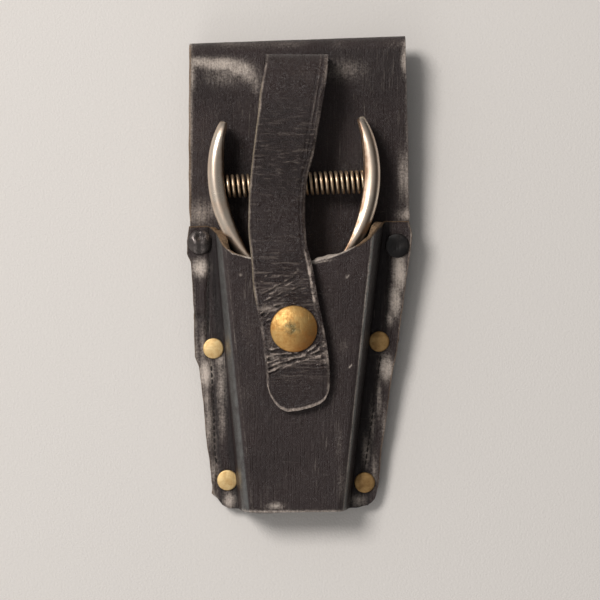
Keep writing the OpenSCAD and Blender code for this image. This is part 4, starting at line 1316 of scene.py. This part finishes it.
def head_from_frame(node, cut_q):
    """Copy of a CAD node's flat parts, cut off under the bow."""
    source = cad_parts[node]
    obj = bpy.data.objects.new(node + "_flat", source.data.copy())
    bpy.context.collection.objects.link(obj)
    obj.data.materials.clear()
    put(obj, CLIPPER.inverted() @ source.matrix_world)
    edit(obj, remove_doubles={"threshold": 0.002 * MM},
         bisect={"plane_co": (0, cut_q * MM, 0), "plane_no": (0, 1, 0), "use_fill": True, "clear_outer": True})
    ease_edges(obj, 0.15, 60)
    return obj


def painted_reflection(side, x, y, z):
    """How much painted reflection of the brown leather the handles take, by the place between their outer and inner
    edges.
    """
    p, q = (CLIPPER.inverted() @ (Vector((x, y, z)) * MM) / MM).xy
    dp, dq = p * side - BOW_C, q - BOW_Q
    if q < 66 or q > TIP_Q + 1:
        return 0.3
    t = (BOW_R - math.hypot(dp, dq)) / max(1.6, handle_depth(math.atan2(dq, dp)))
    if side > 0:
        return min(1.0, 0.9 * ease((t - 0.72) / 0.2) + 0.5 * bump(t, 0.3, 0.1) * ease((112 - q) / 8))
    return min(1.0, 0.75 * ease((t - 0.8) / 0.2) + 0.3 * bump(t, 0.5, 0.08) + 0.25 * ease((84 - q) / 10))


def make_clipper():
    for name, node, side, body, low, high in (("frame_grip", "frame_handle", -1, "clipper", 2.0, 3.8),
                                              ("lever_grip", "lever_handle", 1, "lever", 6.0, 7.8)):
        parts = make_bow(name, side) + [make_tang(side, low, high), head_from_frame(node, 65)]
        obj = join(name, parts)
        put(obj, CLIPPER)
        smooth(obj, 35)
        # low holds the painted reflection of the leather on the handles.
        paint(obj, low=lambda x, y, z: painted_reflection(side, x, y, z))
        finish_piece(obj, body, "nickel", NICKEL)
        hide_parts(node)


def make_spring():
    turns, wire_r, radius, steps = 32, 0.5, 3.5, 26
    closed_pitch = 2 * wire_r
    open_pitch = (2 * SPRING_HALF - 2 * closed_pitch) / (turns - 2)
    path = []
    for i in range(turns * steps + 1):
        t = i / steps
        closed = min(t, 1.0) + max(0.0, t - (turns - 1))
        p = -SPRING_HALF + closed_pitch * closed + open_pitch * (t - closed)
        a = 2 * math.pi * t
        path.append(Vector((p, SPRING_Q + radius * math.cos(a), HANDLE_H / 2 + radius * math.sin(a))))
    data = bpy.data.curves.new("spring_coil", "CURVE")
    data.dimensions = "3D"
    line = data.splines.new("POLY")
    line.points.add(len(path) - 1)
    for point, place in zip(line.points, path):
        point.co = (*(place * MM), 1)
    data.bevel_depth = wire_r * MM
    data.bevel_resolution = 2
    data.use_fill_caps = True
    obj = bpy.data.objects.new("spring_coil", data)
    bpy.context.collection.objects.link(obj)
    only(obj)
    bpy.ops.object.convert(target="MESH")
    obj = bpy.context.object
    put(obj, CLIPPER)
    smooth(obj, 60)
    # Painted shade, darker towards the underside of the coils.
    paint(obj, low=lambda x, y, z: ease((CLIPPER.translation.z / MM + HANDLE_H / 2 + 1.9 - z) / 1.6))
    obj.data.materials.append(WIRE)
    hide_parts("spring")
    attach(obj, "clipper")
    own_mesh(obj)


def dress_nodes():
    """CAD nodes whose shape is right get their finish."""
    for node in ("cover_plate", "cover_screws", "pivot_pin", "drive_pin", "blade_carrier", "blade", "blade_screw"):
        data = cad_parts[node].data
        data.materials.clear()
        data.materials.append(NICKEL if node == "cover_plate" else STEEL)


# ---------------------------------------------------------------- stage

def add_stage():
    bpy.ops.mesh.primitive_grid_add(x_subdivisions=4, y_subdivisions=4, size=3)
    floor = bpy.context.object
    floor.name = "cloth_floor"
    for vertex in floor.data.vertices:
        vertex.co.z = (FLOOR_Y * MM - vertex.co.y) * FLOOR_RISE
    floor.data.materials.append(cloth_material())
    add_lamp("window", (-0.62, 0.55, 1.05), 0.5, 13.0, (1.0, 0.975, 0.95))
    add_lamp("fill", (-0.45, -0.95, 0.8), 0.8, 2.2, (1.0, 0.98, 0.96))
    world = bpy.data.worlds.new("studio")
    bpy.context.scene.world = world
    world.use_nodes = True
    n = Nodes(world.node_tree)
    back = world.node_tree.nodes["Background"]
    direction = n.add("TexCoord").outputs["Generated"]
    sides = n.add("SeparateXYZ", {0: direction}).outputs
    lit = n.span(n.minus(n.times(sides[2], 0.6), sides[0]), -0.5, 1.2, 0.03, 0.54)
    camera_ray = n.add("LightPath").outputs["Is Camera Ray"]
    level = n.add("Mix", {0: camera_ray, 2: lit, 3: 0.75}, data_type="FLOAT").outputs[0]
    n.feed(back.inputs["Strength"], level)
    back.inputs["Color"].default_value = (1, 1, 1, 1)


add_camera()
make_back_panel()
make_front_panel()
make_strap()
make_stitches()
make_rivets()
make_snap()
make_clipper()
make_spring()
dress_nodes()
add_stage()
bpy.context.scene.view_settings.view_transform = "Standard"
